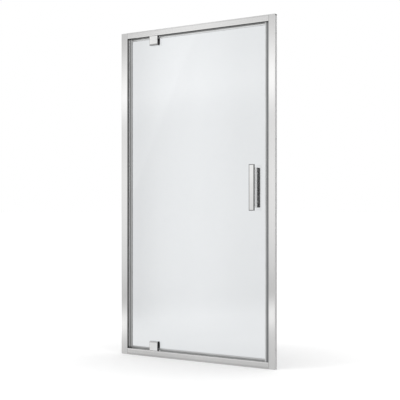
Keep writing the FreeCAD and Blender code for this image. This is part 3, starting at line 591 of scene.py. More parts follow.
# %% Polished and brushed metal
def painted_front_outline(tree, place, node, width):
    """Mask of a painted dark outline: 1 within a width of the left, top and bottom edges of a node's front
    face, and 0 elsewhere.
    """
    low, high = (tuple(corner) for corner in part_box(node))
    x, y, z = (coordinate(tree, place, axis) for axis in range(3))
    ends = arithmetic(tree, "MINIMUM", arithmetic(tree, "SUBTRACT", z, low[2]),
                      arithmetic(tree, "SUBTRACT", high[2], z))
    nearest = arithmetic(tree, "MINIMUM", arithmetic(tree, "SUBTRACT", x, low[0]), ends)
    in_front = arithmetic(tree, "LESS_THAN", y, low[1] + 0.0003)
    return arithmetic(tree, "MULTIPLY", remap(tree, nearest, width * 1.15, width * 0.85, 0, 1), in_front)


def polished_chrome(name, colour, roughness, satin_front=False, tones=None, outlined=None):
    """Bright plate with wiping marks in its shine. Painted shade darkens its eased edges.

    A satin front is blasted before plating, and so is the back, so whatever faces either way is
    pale and even, while the sides and the bevel stay polished. tones are stops of a height, and
    how pale the plate is there: painted reflection and shade. outlined is a node whose front gets
    a painted dark line of shade along its edges, and that line's width.
    """
    material, tree, shader, place = start_material(name, Metallic=1.0)
    marks = use_group(tree, wiped_marks, place, Marks_per_Metre=28.0)
    base = mix_colour(tree, marks["Mark"], scaled(colour, 0.96), scaled(colour, 1))
    if tones:
        base = shaded_along(tree, base, place, 2, tones)
    edge_shading = painted_edge_shade(tree, 0.5, 0.85)
    if outlined:
        # Painted shade: a dark outline on the front of the outside plate.
        line = arithmetic(tree, "MULTIPLY", painted_front_outline(tree, place, *outlined), 0.92)
        edge_shading = arithmetic(tree, "MAXIMUM", edge_shading, line)
    # Painted shade darkens the eased edges and the outline of the plate.
    join(tree, mix_colour(tree, edge_shading, base, (0.20, 0.20, 0.205, 1)), shader.inputs["Base Color"])
    rough = remap(tree, marks["Mark"], 0, 1, roughness, roughness * 2)
    if satin_front:
        facing = coordinate(tree, add_node(tree, "ShaderNodeTexCoord").outputs["Normal"], 1)
        satin = remap(tree, arithmetic(tree, "ABSOLUTE", facing), 0.97, 0.995, 0, 1)
        tooth = use_group(tree, fine_tooth, place, Grains_per_Metre=2400.0)
        blasted = remap(tree, tooth["Height"], 0.3, 0.7, 0.30, 0.40)
        rough = mix_colour(tree, satin, rough, blasted)
        join(tree, remap(tree, satin, 0, 1, 1.0, 0.2), shader.inputs["Metallic"])
        bump(tree, shader, arithmetic(tree, "MULTIPLY", tooth["Height"], satin), 0.1, 0.00003)
    else:
        bump(tree, shader, noise(tree, place, 60.0, 1.0), 0.05, 0.0001)
    join(tree, rough, shader.inputs["Roughness"])
    return material


def stainless_steel():
    """Turned steel, slightly warm, with a fine tooth."""
    material, tree, shader, place = start_material("stainless_steel", Metallic=1.0)
    marks = use_group(tree, wiped_marks, place, Marks_per_Metre=120.0)
    tooth = use_group(tree, fine_tooth, place, Grains_per_Metre=5200.0)
    join(tree, mix_colour(tree, marks["Mark"], (0.62, 0.61, 0.60, 1), (0.70, 0.69, 0.68, 1)),
         shader.inputs["Base Color"])
    join(tree, remap(tree, tooth["Height"], 0.3, 0.7, 0.24, 0.36), shader.inputs["Roughness"])
    bump(tree, shader, tooth["Height"], 0.1, 0.00002, rounding=0.0003)
    return material


# Painted reflection on the plates, lighter towards the top, and painted shade on the upper block.
plate_painted_light = [(0.83, 0.94), (0.87, 0.96), (0.94, 1.00), (1.02, 1.06), (1.07, 1.09)]
block_painted_shade = [(0.09, 1.0), (1.76, 0.92)]
plate_chrome = polished_chrome("plate_chrome", (0.90, 0.90, 0.895), 0.012, tones=plate_painted_light,
                               outlined=("handle_outside_plate", 0.0043))
inside_chrome = polished_chrome("inside_chrome", (0.60, 0.60, 0.60), 0.012)
block_chrome = polished_chrome("block_chrome", (0.86, 0.86, 0.855), 0.03, satin_front=True,
                               tones=block_painted_shade)
steel = stainless_steel()

# %% [markdown]
# ## Safety glass
#
# The pane is a real sheet, six millimetres thick, with both its faces, so light bends into it and
# out again and each face gives its own reflection. Its colour is a faint cool grey. The surface
# stays sharp: roughness would frost it.


# %% Safety glass
def safety_glass():
    """Clear sheet glass with a faint cool tint and hardly any unevenness."""
    material, tree, shader, place = start_material(
        "safety_glass", Transmission_Weight=1.0, IOR=1.5, Metallic=0.0)
    marks = use_group(tree, wiped_marks, place, Marks_per_Metre=3.0)
    join(tree, mix_colour(tree, marks["Mark"], (0.816, 0.834, 0.848, 1), (0.826, 0.843, 0.857, 1)),
         shader.inputs["Base Color"])
    shader.inputs["Roughness"].default_value = 0.0
    return material


glass = safety_glass()

# %% [markdown]
# ## Seals, gaskets and moulded plastic
#
# The seals are soft vinyl. The ones on the leaf are sold as clear, but in use they look like
# frosted ice. They are painted pale, without any transmission, and painted shade darkens them
# towards the metal that they reach. Only the pads under the handle let a little light through.
# The posts in the jambs and the magnets are solid greys.


# %% Seals and plastics
def soft_vinyl(name, colour, roughness, tones=None, painted_light_behind=1.0, shades=(), clearness=0.0):
    """Soft seal material: cloudy, with a fine tooth.

    tones are an axis and stops, which give a place along it in metres and how pale the vinyl is
    there: painted shade. Behind the glass it is paler by a factor, a painted light for the light
    from the room inside that would shine through it. shades are more such pairs, painted shade
    where a seal meets another.
    """
    material, tree, shader, place = start_material(
        name, Transmission_Weight=clearness, IOR=1.45, Metallic=0.0)
    marks = use_group(tree, wiped_marks, place, Marks_per_Metre=14.0)
    tooth = use_group(tree, fine_tooth, place, Grains_per_Metre=900.0)
    base = mix_colour(tree, marks["Mark"], scaled(colour, 0.93), scaled(colour, 1))
    if tones:
        base = shaded_along(tree, base, place, *tones)
        # Painted light: the vinyl behind the glass is made paler.
        base = shaded(tree, base, remap(tree, coordinate(tree, place, 1), 0.0070, 0.0075, 1.0, painted_light_behind))
    for axis, stops in shades:
        base = shaded_along(tree, base, place, axis, stops)
    join(tree, base, shader.inputs["Base Color"])
    join(tree, remap(tree, marks["Mark"], 0, 1, roughness, roughness + 0.08), shader.inputs["Roughness"])
    bump(tree, shader, tooth["Height"], 0.06, 0.00005)
    return material


# Painted shade: each seal darkens towards the metal that it reaches.
hinge_tones = [(-0.4506, 0.25), (-0.4440, 0.26), (-0.4380, 0.36), (-0.4330, 0.56)]
strike_tones = [(0.4340, 1.0), (0.4385, 0.76), (0.4407, 0.56), (0.4461, 0.30)]
bottom_tones = [(0.0356, 0.39), (0.0425, 0.45), (0.0440, 0.60), (0.0500, 0.72)]
top_tones = [(1.8000, 0.95), (1.8040, 0.88), (1.8075, 0.66), (1.8100, 0.50), (1.8125, 0.36),
             (1.8144, 0.16)]
ice = (0.86, 0.87, 0.87)
# Painted shade where the seals meet the rails and in the corner at the hinge end.
corner_painted_shade = [(-0.4316, 0.45), (-0.405, 0.72), (-0.37, 0.85), (-0.295, 0.90), (-0.24, 1.0)]
rail_painted_shade = [(0.035, 0.30), (0.045, 0.30), (0.048, 1.0), (1.8095, 1.0), (1.8125, 0.35), (1.815, 0.35)]
hinge_vinyl = soft_vinyl("hinge_vinyl", ice, 0.30, (0, hinge_tones), 1.9, [(2, rail_painted_shade)])
strike_vinyl = soft_vinyl("strike_vinyl", ice, 0.30, (0, strike_tones))
bottom_vinyl = soft_vinyl("bottom_vinyl", ice, 0.30, (2, bottom_tones), shades=[(0, corner_painted_shade)])
top_vinyl = soft_vinyl("top_vinyl", ice, 0.30, (2, top_tones), 1.15, [(0, corner_painted_shade)])
post_vinyl = soft_vinyl("post_vinyl", (0.60, 0.605, 0.61), 0.40, shades=[(2, rail_painted_shade)])
carrier_vinyl = soft_vinyl("carrier_vinyl", (0.24, 0.245, 0.25), 0.40)
magnet_strip = soft_vinyl("magnet_strip", (0.05, 0.05, 0.052), 0.55)
pale_gasket = soft_vinyl("pale_gasket", (0.72, 0.74, 0.74), 0.35, clearness=0.15)
clamped_gasket = soft_vinyl("clamped_gasket", (0.12, 0.12, 0.12), 0.40)
grey_plastic = soft_vinyl("grey_plastic", (0.56, 0.57, 0.58), 0.42)
bearing_plastic = soft_vinyl("bearing_plastic", (0.80, 0.80, 0.78), 0.38)

# %% Give every node its finish
finishes = {
    hinge_upright: ["hinge_jamb"],
    strike_upright: ["strike_jamb"],
    sill_aluminium: ["sill_rail"],
    head_aluminium: ["head_rail"],
    mill_aluminium: ["hinge_wall_channel", "strike_wall_channel", "sill_pivot_insert",
                     "head_pivot_insert"],
    web_aluminium: ["handle_outside_web"],
    plate_chrome: ["handle_outside_plate", "handle_inside_plate"],
    inside_chrome: ["handle_inside_web"],
    block_chrome: ["lower_pivot_block", "upper_pivot_block", "lower_pivot_inner_plate",
                   "upper_pivot_inner_plate"],
    steel: ["corner_screws", "channel_screws", "sill_insert_screws", "head_insert_screws",
            "lower_pivot_pin", "upper_pivot_pin", "lower_clamp_screws", "upper_clamp_screws",
            "handle_plate_screws", "handle_studs", "handle_grub_screws"],
    glass: ["glass_pane"],
    hinge_vinyl: ["hinge_edge_seal"],
    strike_vinyl: ["strike_edge_seal"],
    bottom_vinyl: ["bottom_seal_hinge_side", "bottom_seal_handle_side"],
    top_vinyl: ["top_seal_hinge_side", "top_seal_handle_side"],
    post_vinyl: ["hinge_jamb_seal"],
    carrier_vinyl: ["strike_jamb_seal"],
    magnet_strip: ["strike_jamb_magnet", "strike_edge_magnet"],
    clamped_gasket: ["lower_pivot_outer_gasket", "lower_pivot_inner_gasket",
                     "upper_pivot_outer_gasket", "upper_pivot_inner_gasket"],
    pale_gasket: ["handle_outside_gasket", "handle_inside_gasket"],
    grey_plastic: ["hinge_jamb_cap", "strike_jamb_cap", "channel_screw_covers"],
    bearing_plastic: ["sill_pivot_bush", "head_pivot_bush", "handle_sleeves"],
}
finished = [name for names in finishes.values() for name in names]
assert sorted(finished) == sorted(nodes), set(finished) ^ set(nodes)
for material, names in finishes.items():
    for name in names:
        nodes[name].data.materials.clear()
        nodes[name].data.materials.append(material)

# %% [markdown]
# ## Surfaces from arrays
#
# A cut length of extrusion, a plate with eased edges and a bevelled block are one idea: a closed
# outline, carried straight along an axis. No real edge is sharp. It is the narrow round along an
# edge that catches the light and makes metal look solid, so the outline's corners become arcs, and
# the ends can be rounded over as well. Everything is worked out as whole arrays, and since the
# formula also gives the exact direction that each point faces, those directions go into the mesh
# and the flats stay perfectly flat beside the rounds.


# %% Outlines with eased corners
def directions(angles):
    """Unit arrows in the drawing plane, one for each angle."""
    return np.stack([np.cos(angles), np.sin(angles)], axis=-1)


def eased(outline, radius, steps, shade):
    """Arcs in place of the corners of a closed outline that runs anticlockwise.

    The centre of a corner's arc lies on the line that halves the corner, at the radius over the
    cosine of half the turn. The arc's points stand one radius off that centre, along a direction
    that turns evenly from the way one side faces to the way the next side faces. Where the
    outline turns inwards, the radius counts as negative. Gives the centres, the radii, the
    directions, and how near each point is to the middle of an outer corner, times its shade.
    """
    corners = np.array(outline, dtype=float)
    run_in = corners - np.roll(corners, 1, axis=0)
    run_out = np.roll(corners, -1, axis=0) - corners
    faces_in = np.arctan2(run_in[:, 1], run_in[:, 0]) - math.pi / 2
    faces_out = np.arctan2(run_out[:, 1], run_out[:, 0]) - math.pi / 2
    turn = (faces_out - faces_in + math.pi) % (2 * math.pi) - math.pi
    reach = np.broadcast_to(radius, turn.shape) * np.sign(turn)
    centres = corners - (reach / np.cos(turn / 2))[:, None] * directions(faces_in + turn / 2)
    share = np.linspace(0, 1, steps + 1)
    facing = directions(faces_in[:, None] + turn[:, None] * share)
    nearness = (np.broadcast_to(shade, turn.shape) * (turn > 0))[:, None] * np.sin(math.pi * share)
    return (np.repeat(centres, steps + 1, axis=0), np.repeat(reach, steps + 1),
            facing.reshape(-1, 2), nearness.ravel())


# %% A profile carried along an axis
axis_order = {"X": [2, 0, 1], "Y": [1, 2, 0], "Z": [0, 1, 2]}


def grid_faces(rings, around):
    """Four-sided faces of a grid whose rows are closed rings, seen anticlockwise from outside."""
    row = np.arange(rings - 1)[:, None] * around
    here = np.arange(around)
    after = (here + 1) % around
    corners = [row + here, row + after, row + around + after, row + around + here]
    return np.stack(corners, axis=-1).reshape(-1, 4)


def carried(outline, start, end, along, radius, end_radius=0.0, steps=4, shade=1.0):
    """A closed surface: an eased outline, carried along an axis and closed at both ends.

    The surface is a grid. One parameter goes round the outline and the other goes from end to
    end. With a the angle that a point's direction has turned out of the end's own, from 0 to 90
    degrees, the ring at a lies end_radius times 1 - cos a inside the end, and is drawn in by
    end_radius times 1 - sin a. Outlines are drawn in (X, Y) for Z, (Y, Z) for X and (Z, X) for Y.
    """
    centres, reach, facing, nearness = eased(outline, radius, steps, shade)
    turned_out = np.linspace(0, math.pi / 2, steps + 1) if end_radius else np.array([math.pi / 2])
    inset = end_radius * (1 - np.sin(turned_out))
    rise = end_radius * (1 - np.cos(turned_out))
    drawn_in = np.concatenate([inset, inset[::-1]])
    heights = np.concatenate([start + rise, (end - rise)[::-1]])
    sideways = np.sin(np.concatenate([turned_out, turned_out[::-1]]))
    endways = np.concatenate([-np.cos(turned_out), np.cos(turned_out)[::-1]])
    flat = centres + (reach - drawn_in[:, None])[..., None] * facing
    lengths = np.broadcast_to(heights[:, None, None], flat.shape[:2] + (1,))
    tilts = np.broadcast_to(endways[:, None, None], flat.shape[:2] + (1,))
    order = axis_order[along]
    points = np.concatenate([flat, lengths], axis=-1)[..., order].reshape(-1, 3)
    normals = np.concatenate([sideways[:, None, None] * facing, tilts], axis=-1)[..., order].reshape(-1, 3)
    rings, around = flat.shape[:2]
    quads = grid_faces(rings, around)
    rim = 2 * np.abs(sideways * endways)
    way = np.array([0.0, 0.0, 1.0])[order]
    ring = np.arange(around)
    return {"points": points, "quads": quads, "normals": normals[quads],
            "caps": [(ring[::-1], -way), (ring + (rings - 1) * around, way)],
            "edge": np.maximum(nearness, rim[:, None]).ravel()}


# %% Turned pieces with a six-sided socket
def turned(stations, around=36):
    """A surface turned about Z, closed at its first and last stations.

    A station is a height, a radius, and whether it is six-sided. The point at angle t stands one
    radius from the axis on a round station. On a six-sided one it stands the radius over the
    cosine of the angle to the middle of the nearest flat, so the radius is half the width across
    flats. The stations run up the outside, over the top and down into the socket.
    """
    heights, radii, flats = (np.array(column, dtype=float) for column in zip(*stations))
    angle = np.linspace(0, 2 * math.pi, around, endpoint=False)
    to_flat = (angle + math.pi / 6) % (math.pi / 3) - math.pi / 6
    ring = radii[:, None] * np.where(flats[:, None] > 0, 1 / np.cos(to_flat), 1.0)
    level = np.broadcast_to(heights[:, None], ring.shape)
    points = np.stack([ring * np.cos(angle), ring * np.sin(angle), level], axis=-1)
    leaning = np.stack([np.diff(heights), -np.diff(radii)], axis=-1)
    leaning /= np.linalg.norm(leaning, axis=1)[:, None]
    corner_angles = np.stack([angle, np.roll(angle, -1), np.roll(angle, -1), angle], axis=-1)
    middle = angle + math.pi / around
    flat_middle = np.round(middle / (math.pi / 3)) * (math.pi / 3)
    walls = (flats[:-1] * flats[1:] > 0)[:, None, None]
    corner_angles = np.where(walls, flat_middle[:, None], corner_angles[None])
    normals = np.stack([leaning[:, 0, None, None] * np.cos(corner_angles),
                        leaning[:, 0, None, None] * np.sin(corner_angles),
                        np.broadcast_to(leaning[:, 1, None, None], corner_angles.shape)], axis=-1)
    base = np.arange(around)
    return {"points": points.reshape(-1, 3), "quads": grid_faces(len(stations), around),
            "normals": normals.reshape(-1, 4, 3),
            "caps": [(base[::-1], np.array([0.0, 0.0, -1.0])),
                     (base + (len(stations) - 1) * around, np.array([0.0, 0.0, 1.0]))],
            "edge": np.zeros(len(stations) * around)}


def placed(shape, origin, axis):
    """The same shape with its own Z turned to look along an axis, and then moved to a place."""
    axis = np.array(axis, dtype=float)
    across = np.array([0.0, 0.0, 1.0]) if abs(axis[2]) < 0.5 else np.array([1.0, 0.0, 0.0])
    frame_rows = np.stack([across, np.cross(axis, across), axis])
    return {"points": shape["points"] @ frame_rows + np.array(origin),
            "quads": shape["quads"], "normals": shape["normals"] @ frame_rows,
            "caps": [(ring, way @ frame_rows) for ring, way in shape["caps"]],
            "edge": shape["edge"]}


# %% From arrays to a piece of the door
def make_piece(name, shapes, finish, body, slot_name, *stands_for):
    """Puts shapes into one mesh, with their exact directions, and fixes the piece to a body."""
    faces, normals, first = [], [], 0
    for shape in shapes:
        faces += (shape["quads"] + first).tolist() + [(ring + first).tolist() for ring, _ in shape["caps"]]
        normals += [shape["normals"].reshape(-1, 3)]
        normals += [np.tile(way, (len(ring), 1)) for ring, way in shape["caps"]]
        first += len(shape["points"])
    mesh = bpy.data.meshes.new(name)
    mesh.from_pydata(np.concatenate([shape["points"] for shape in shapes]), [], faces)
    mesh.polygons.foreach_set("use_smooth", np.ones(len(faces), dtype=bool))
    mesh.normals_split_custom_set(np.concatenate(normals))
    edge = mesh.attributes.new("edge", "FLOAT", "POINT")
    edge.data.foreach_set("value", np.concatenate([shape["edge"] for shape in shapes]))
    mesh.materials.append(finish)
    piece = bpy.data.objects.new(name, mesh)
    bpy.context.scene.collection.objects.link(piece)
    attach(piece, body)
    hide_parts(*stands_for)
    print(f"{name:28s} {len(mesh.vertices):6d} points {len(mesh.polygons):6d} faces")
    return piece


def corners_of(node):
    """Lowest and highest corner of a node of the construction, as two rows."""
    return np.array([tuple(corner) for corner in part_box(node)], dtype=float)


def bar(node, along, radius, end_radius, shade=1.0):
    """A straight bar as large as a node, with eased edges and ends."""
    low, high = corners_of(node)
    a, b, c = {"Z": (0, 1, 2), "X": (1, 2, 0), "Y": (2, 0, 1)}[along]
    outline = [(low[a], low[b]), (high[a], low[b]), (high[a], high[b]), (low[a], high[b])]
    return carried(outline, low[c], high[c], along, radius, end_radius, shade=shade)


def upside_down(outline):
    """An outline in (Y, Z) for the other end of the door, still anticlockwise."""
    return [(y, frame_top - z) for y, z in reversed(outline)]


# %% [markdown]
# ## The frame
#
# A jamb is an open hollow that slides over a channel on the wall, with a thick nose beside the
# opening and a T-shaped slot in that nose for the soft seal. Only its outside and the hollow
# towards the wall are ever seen, so the outline runs round those. The edges of the hollow are left
# crisp, as the saw and the die leave them. The front edge beside the opening is eased by 1.2 mm on
# the hinge jamb, which gives the thin bright line there, and by half a millimetre on the other. A
# rail is a closed box. Its cut ends are barely broken, and that leaves a hairline at the jambs.

# %% Jambs, caps and rails
frame_top = construction_box[1][2]
front, back = corners_of("hinge_jamb")[:, 1]
wall = 0.0015
nose = 0.010
slot_mouth, slot_pocket, slot_depth = 0.0034, 0.0060, 0.0040
crisp, broken, bent = 0.0002, 0.0008, 0.0006    # radii of the jambs' edges
glass_low, glass_high = corners_of("glass_pane")
glass_middle = (glass_low[1] + glass_high[1]) / 2


def jamb_outline(width, opening_edge):
    """Outline of a jamb, drawn from the wall towards the opening, with the radius of each corner."""
    mouth = (glass_middle - slot_mouth / 2, glass_middle + slot_mouth / 2)
    pocket = (glass_middle - slot_pocket / 2, glass_middle + slot_pocket / 2)
    deep, lip, hollow = width - slot_depth, width - wall, width - nose
    corners = [
        (0, front, broken), (width, front, opening_edge), (width, mouth[0], crisp), (lip, mouth[0], crisp),
        (lip, pocket[0], crisp), (deep, pocket[0], crisp), (deep, pocket[1], crisp),
        (lip, pocket[1], crisp), (lip, mouth[1], crisp), (width, mouth[1], crisp),
        (width, back, broken), (0, back, bent), (0, back - wall, crisp),
        (hollow, back - wall, bent), (hollow, front + wall, bent), (0, front + wall, crisp),
    ]
    return [(a, b) for a, b, _ in corners], [radius for _, _, radius in corners]


for side, finish, outwards, opening_edge in (("hinge", hinge_upright, -1, 0.0012),
                                             ("strike", strike_upright, 1, 0.0005)):
    jamb_low, jamb_high = corners_of(side + "_jamb")
    outline, radii = jamb_outline(jamb_high[0] - jamb_low[0], opening_edge)
    if outwards < 0:
        outline = [(jamb_low[0] + a, b) for a, b in outline]
    else:
        outline = [(jamb_high[0] - a, b) for a, b in reversed(outline)]
        radii = radii[::-1]
    make_piece(side + "_jamb_extrusion", [carried(outline, jamb_low[2], jamb_high[2], "Z", radii)],
               finish, "frame", "frame_aluminium", side + "_jamb")
    cap_low, cap_high = corners_of(side + "_jamb_cap")
    lid = [(cap_low[0], front), (cap_high[0], front), (cap_high[0], back), (cap_low[0], back)]
    make_piece(side + "_jamb_lid", [carried(lid, jamb_high[2], cap_high[2], "Z", 0.0008, 0.0004)],
               grey_plastic, "frame", "grey_plastic", side + "_jamb_cap")

rail_forms = {"sill": (sill_aluminium, [0.0012, 0.0008, 0.0008, 0.0012], [1, 0.5, 0, 0]),
              "head": (head_aluminium, [0.0018, 0.0008, 0.0008, 0.0012], [1, 0.5, 0.5, 0.7])}
for place, (finish, radii, shade) in rail_forms.items():
    low, high = corners_of(place + "_rail")
    outline = [(front, low[2]), (back, low[2]), (back, high[2]), (front, high[2])]
    make_piece(place + "_rail_extrusion",
               [carried(outline, low[0], high[0], "X", radii, 0.0006, shade=shade)],
               finish, "frame", "frame_aluminium", place + "_rail")

# %% [markdown]
# ## The pivot blocks
#
# Each pivot block is one solid piece of plated metal in front of the glass. Its free end is
# bevelled towards the glass, and its tongue goes through a notch in the pane to the plate behind.
# The side view, carried across the block, gives the bevel, and easing every edge by two
# millimetres gives the narrow bright lines that plated metal shows at its edges. Painted shade in
# the finish darkens the middles of those rounds into the narrow dark lines.

# %% Pivot blocks
block_edge, block_end = 0.0020, 0.0019
bevel_height, bevel_depth = 0.008, 0.0025
core_width, core_height, core_radius = 0.029, 0.029, 0.004
core_foot, core_foot_radius = 0.001, 0.0003
core_overlap = 0.0005                   # how far the tongue starts inside the block
plate_edge, plate_end = 0.0014, 0.0010


def pivot_block(place):
    """Side view of the block carried along X, and the tongue carried along Y."""
    low, high = corners_of("lower_pivot_block")
    behind = corners_of("lower_pivot_outer_gasket")[0, 1]
    middle = (low[0] + high[0]) / 2
    side_view = [(low[1], low[2]), (behind, low[2]), (behind, high[2]),
                 (low[1] + bevel_depth, high[2]), (low[1], high[2] - bevel_height)]
    foot, top = low[2] + core_foot, low[2] + core_height
    left_side, right_side = middle - core_width / 2, middle + core_width / 2
    tongue = [(foot, left_side), (top, left_side), (top, right_side), (foot, right_side)]
    tongue_radii = [core_foot_radius, core_radius, core_radius, core_foot_radius]
    if place == "upper":
        side_view = upside_down(side_view)
        tongue = [(frame_top - z, x) for z, x in reversed(tongue)]
        tongue_radii = tongue_radii[::-1]
    return [carried(side_view, low[0], high[0], "X", block_edge, block_end, 5),
            carried(tongue, behind - core_overlap, high[1], "Y", tongue_radii)]


for place in ("lower", "upper"):
    make_piece(place + "_pivot_block_plated", pivot_block(place), block_chrome, "door",
               "polished_chrome", place + "_pivot_block")
    make_piece(place + "_pivot_plate_plated",
               [bar(place + "_pivot_inner_plate", "Y", plate_edge, plate_end)],
               block_chrome, "door", "polished_chrome", place + "_pivot_inner_plate")

# %% [markdown]
# ## The handle
#
# The handle is built from flat bar: a broad plate in front, and an upright web that carries it off
# the glass, with the same again inside the shower. The rounds along the front plate's two front
# edges are broad, and its ends are barely eased. Its thin dark outline is painted shade in the finish.

# %% Handle
outside_edges, outside_shade = [0.0025, 0.0025, 0.0008, 0.0008], [1, 0, 1, 1]
for node, finish, slot_name, edge_radius, end_radius, shade in (
        ("handle_outside_plate", plate_chrome, "polished_chrome", outside_edges, 0.0007, outside_shade),
        ("handle_inside_plate", plate_chrome, "polished_chrome", 0.0015, 0.0013, 1),
        ("handle_outside_web", web_aluminium, "handle_aluminium", 0.0012, 0.0008, 1),
        ("handle_inside_web", inside_chrome, "polished_chrome", 0.0006, 0.0005, 1)):
    make_piece(node + "_bar", [bar(node, "Z", edge_radius, end_radius, shade)], finish, "door",
               slot_name, node)

# %% [markdown]
# ## Screws and covers
#
# A countersunk screw shows a flat disc with a six-sided socket. It is turned, like a pot: one
# list of stations gives the shank, the rim, the face and the socket. The snap-on covers on the
# back of the jambs are low domes, made the same way.


# %% Screw heads and covers
def socket_screw(radius, shank, length, across_flats, proud=0.00012):
    """Countersunk screw with a six-sided socket, from its tip up. The face stands barely proud."""
    key = across_flats / 2
    cone = 0.0010 + radius - shank
    return turned([
        (-length, shank - 0.0004, 0), (-length + 0.0004, shank, 0), (-cone, shank, 0),
        (-0.0009, radius, 0), (-0.0001, radius, 0), (proud * 0.7, radius - 0.00012, 0),
        (proud, radius - 0.0004, 0), (proud, key * 1.25, 0), (proud - 0.0003, key, 1),
        (-across_flats * 0.55, key, 1),
    ])


def both_ends(places):
    """The same places again at the other end of the door."""
    return [places, [(x, y, frame_top - z) for x, y, z in places]]


pivot_x = (corners_of("lower_pivot_block")[0, 0] + corners_of("lower_pivot_block")[1, 0]) / 2
plate_back = corners_of("lower_pivot_inner_plate")[1, 1]
clamp_level = corners_of("lower_pivot_block")[0, 2]
clamp_length = np.ptp(corners_of("lower_clamp_screws")[:, 1])
clamp_spread, clamp_pair, clamp_single = 0.010, 0.012, 0.0245
clamp_places = [(pivot_x - clamp_spread, plate_back, clamp_level + clamp_pair),
                (pivot_x + clamp_spread, plate_back, clamp_level + clamp_pair),
                (pivot_x, plate_back, clamp_level + clamp_single)]
for place, points in zip(("lower", "upper"), both_ends(clamp_places)):
    make_piece(place + "_clamp_socket_screws",
               [placed(socket_screw(0.0047, 0.0024, clamp_length, 0.003), point, (0, 1, 0))
                for point in points],
               steel, "door", "stainless_steel", place + "_clamp_screws")

rail_face = corners_of("sill_rail")[1, 2]
insert_length = np.ptp(corners_of("sill_insert_screws")[:, 2])
insert_spread = 0.0155
insert_places = [(pivot_x + side * insert_spread, glass_low[1], rail_face) for side in (-1, 1)]
for place, points, way in zip(("sill", "head"), both_ends(insert_places), ((0, 0, 1), (0, 0, -1))):
    make_piece(place + "_insert_socket_screws",
               [placed(socket_screw(0.0035, 0.0019, insert_length, 0.0025), point, way) for point in points],
               steel, "frame", "stainless_steel", place + "_insert_screws")

grub_low, grub_high = corners_of("handle_grub_screws")
grub_middle = (grub_low[1] + grub_high[1]) / 2
grub_inset = 0.002
grub_places = [(grub_high[0], grub_middle, grub_low[2] + grub_inset),
               (grub_high[0], grub_middle, grub_high[2] - grub_inset)]
grub_length = grub_high[0] - grub_low[0]
make_piece("handle_grub_socket_screws",
           [placed(socket_screw(0.0019, 0.0019, grub_length, 0.0015, 0.00005), point, (1, 0, 0))
            for point in grub_places],
           steel, "door", "stainless_steel", "handle_grub_screws")

cover_low, cover_high = corners_of("channel_screw_covers")
cover_radius, cover_height = 0.0054, cover_high[1] - cover_low[1]
dome_rounds = [(0, 0), (0.52, 0), (0.74, 0.00025), (0.88, 0.0007), (0.96, 0.0014), (1, 0.0026)]
dome = turned([(cover_height * share, cover_radius - inset, 0) for share, inset in dome_rounds]
              + [(cover_height, 0.0002, 0)])
cover_x = (cover_low[0] + cover_radius, cover_high[0] - cover_radius)
cover_z = (cover_low[2] + cover_radius, (cover_low[2] + cover_high[2]) / 2, cover_high[2] - cover_radius)
make_piece("channel_screw_domes",
           [placed(dome, (x, cover_low[1], z), (0, 1, 0)) for x in cover_x for z in cover_z],
           grey_plastic, "frame", "grey_plastic", "channel_screw_covers")

# %% [markdown]
# ## Seals
#
# A soft seal is pressed through a die too, and its profile is all legs, lips and pockets. The
# outline is drawn in full and its corners are eased generously, because vinyl never comes out
# sharp. Those on the edges of the leaf grip the glass with two legs.

# %% Seals on the jambs
hinge_opening, strike_opening = corners_of("hinge_jamb")[1, 0], corners_of("strike_jamb")[0, 0]
seal_bottom, seal_top = corners_of("hinge_jamb_seal")[:, 2]
post_right = corners_of("hinge_jamb_seal")[1, 0]
leg_front, leg_back = corners_of("hinge_edge_seal")[:, 1]
groove = 0.0004

post = [(hinge_opening, leg_front), (post_right, leg_front), (post_right, leg_back),
        (hinge_opening, leg_back)]
make_piece("hinge_jamb_soft_post",
           [carried(post, seal_bottom, seal_top, "Z", [0.0003, 0.0014, 0.0014, 0.0003])],
           post_vinyl, "frame", "grey_seal", "hinge_jamb_seal")

carrier_left = corners_of("strike_jamb_seal")[0, 0]
pocket_width = 0.0054
seam = carrier_left + pocket_width
carrier = [(carrier_left, leg_front), (seam - groove, leg_front), (seam, leg_front + groove),
           (seam + groove, leg_front), (strike_opening, leg_front), (strike_opening, leg_back),
           (seam + groove, leg_back), (seam, leg_back - groove), (seam - groove, leg_back),
           (carrier_left, leg_back)]
make_piece("strike_jamb_magnet_carrier",
           [carried(carrier, seal_bottom, seal_top, "Z", [0.0007] + [0.0001] * 8 + [0.0007], steps=3)],
           carrier_vinyl, "frame", "grey_seal", "strike_jamb_seal")

# %% Seals on the upright edges of the leaf
air = 0.00015                           # between a soft seal and the glass it grips
grip_front, grip_back = glass_low[1] - air, glass_high[1] + air
edge_bottom, edge_top = corners_of("hinge_edge_seal")[:, 2]
lip_tip, hinge_legs = corners_of("hinge_edge_seal")[:, 0]
cover = glass_low[0] - 0.0015
grip_hinge, grip_strike = glass_low[0] - air, glass_high[0] + air
lip_half = 0.002
hinge_clip = [
    (cover, leg_front), (hinge_legs, leg_front), (hinge_legs, grip_front), (grip_hinge, grip_front),
    (grip_hinge, grip_back), (hinge_legs, grip_back), (hinge_legs, leg_back), (cover, leg_back),
    (cover, glass_middle + lip_half), (lip_tip, glass_middle + lip_half),
    (lip_tip, glass_middle - lip_half), (cover, glass_middle - lip_half),
]
hinge_clip_radii = [0.0005] * 2 + [0.0001] * 4 + [0.0005] * 2 + [0.0004, 0.0018, 0.0018, 0.0004]
make_piece("hinge_edge_soft_seal", [carried(hinge_clip, edge_bottom, edge_top, "Z", hinge_clip_radii)],
           hinge_vinyl, "door", "clear_seal", "hinge_edge_seal")

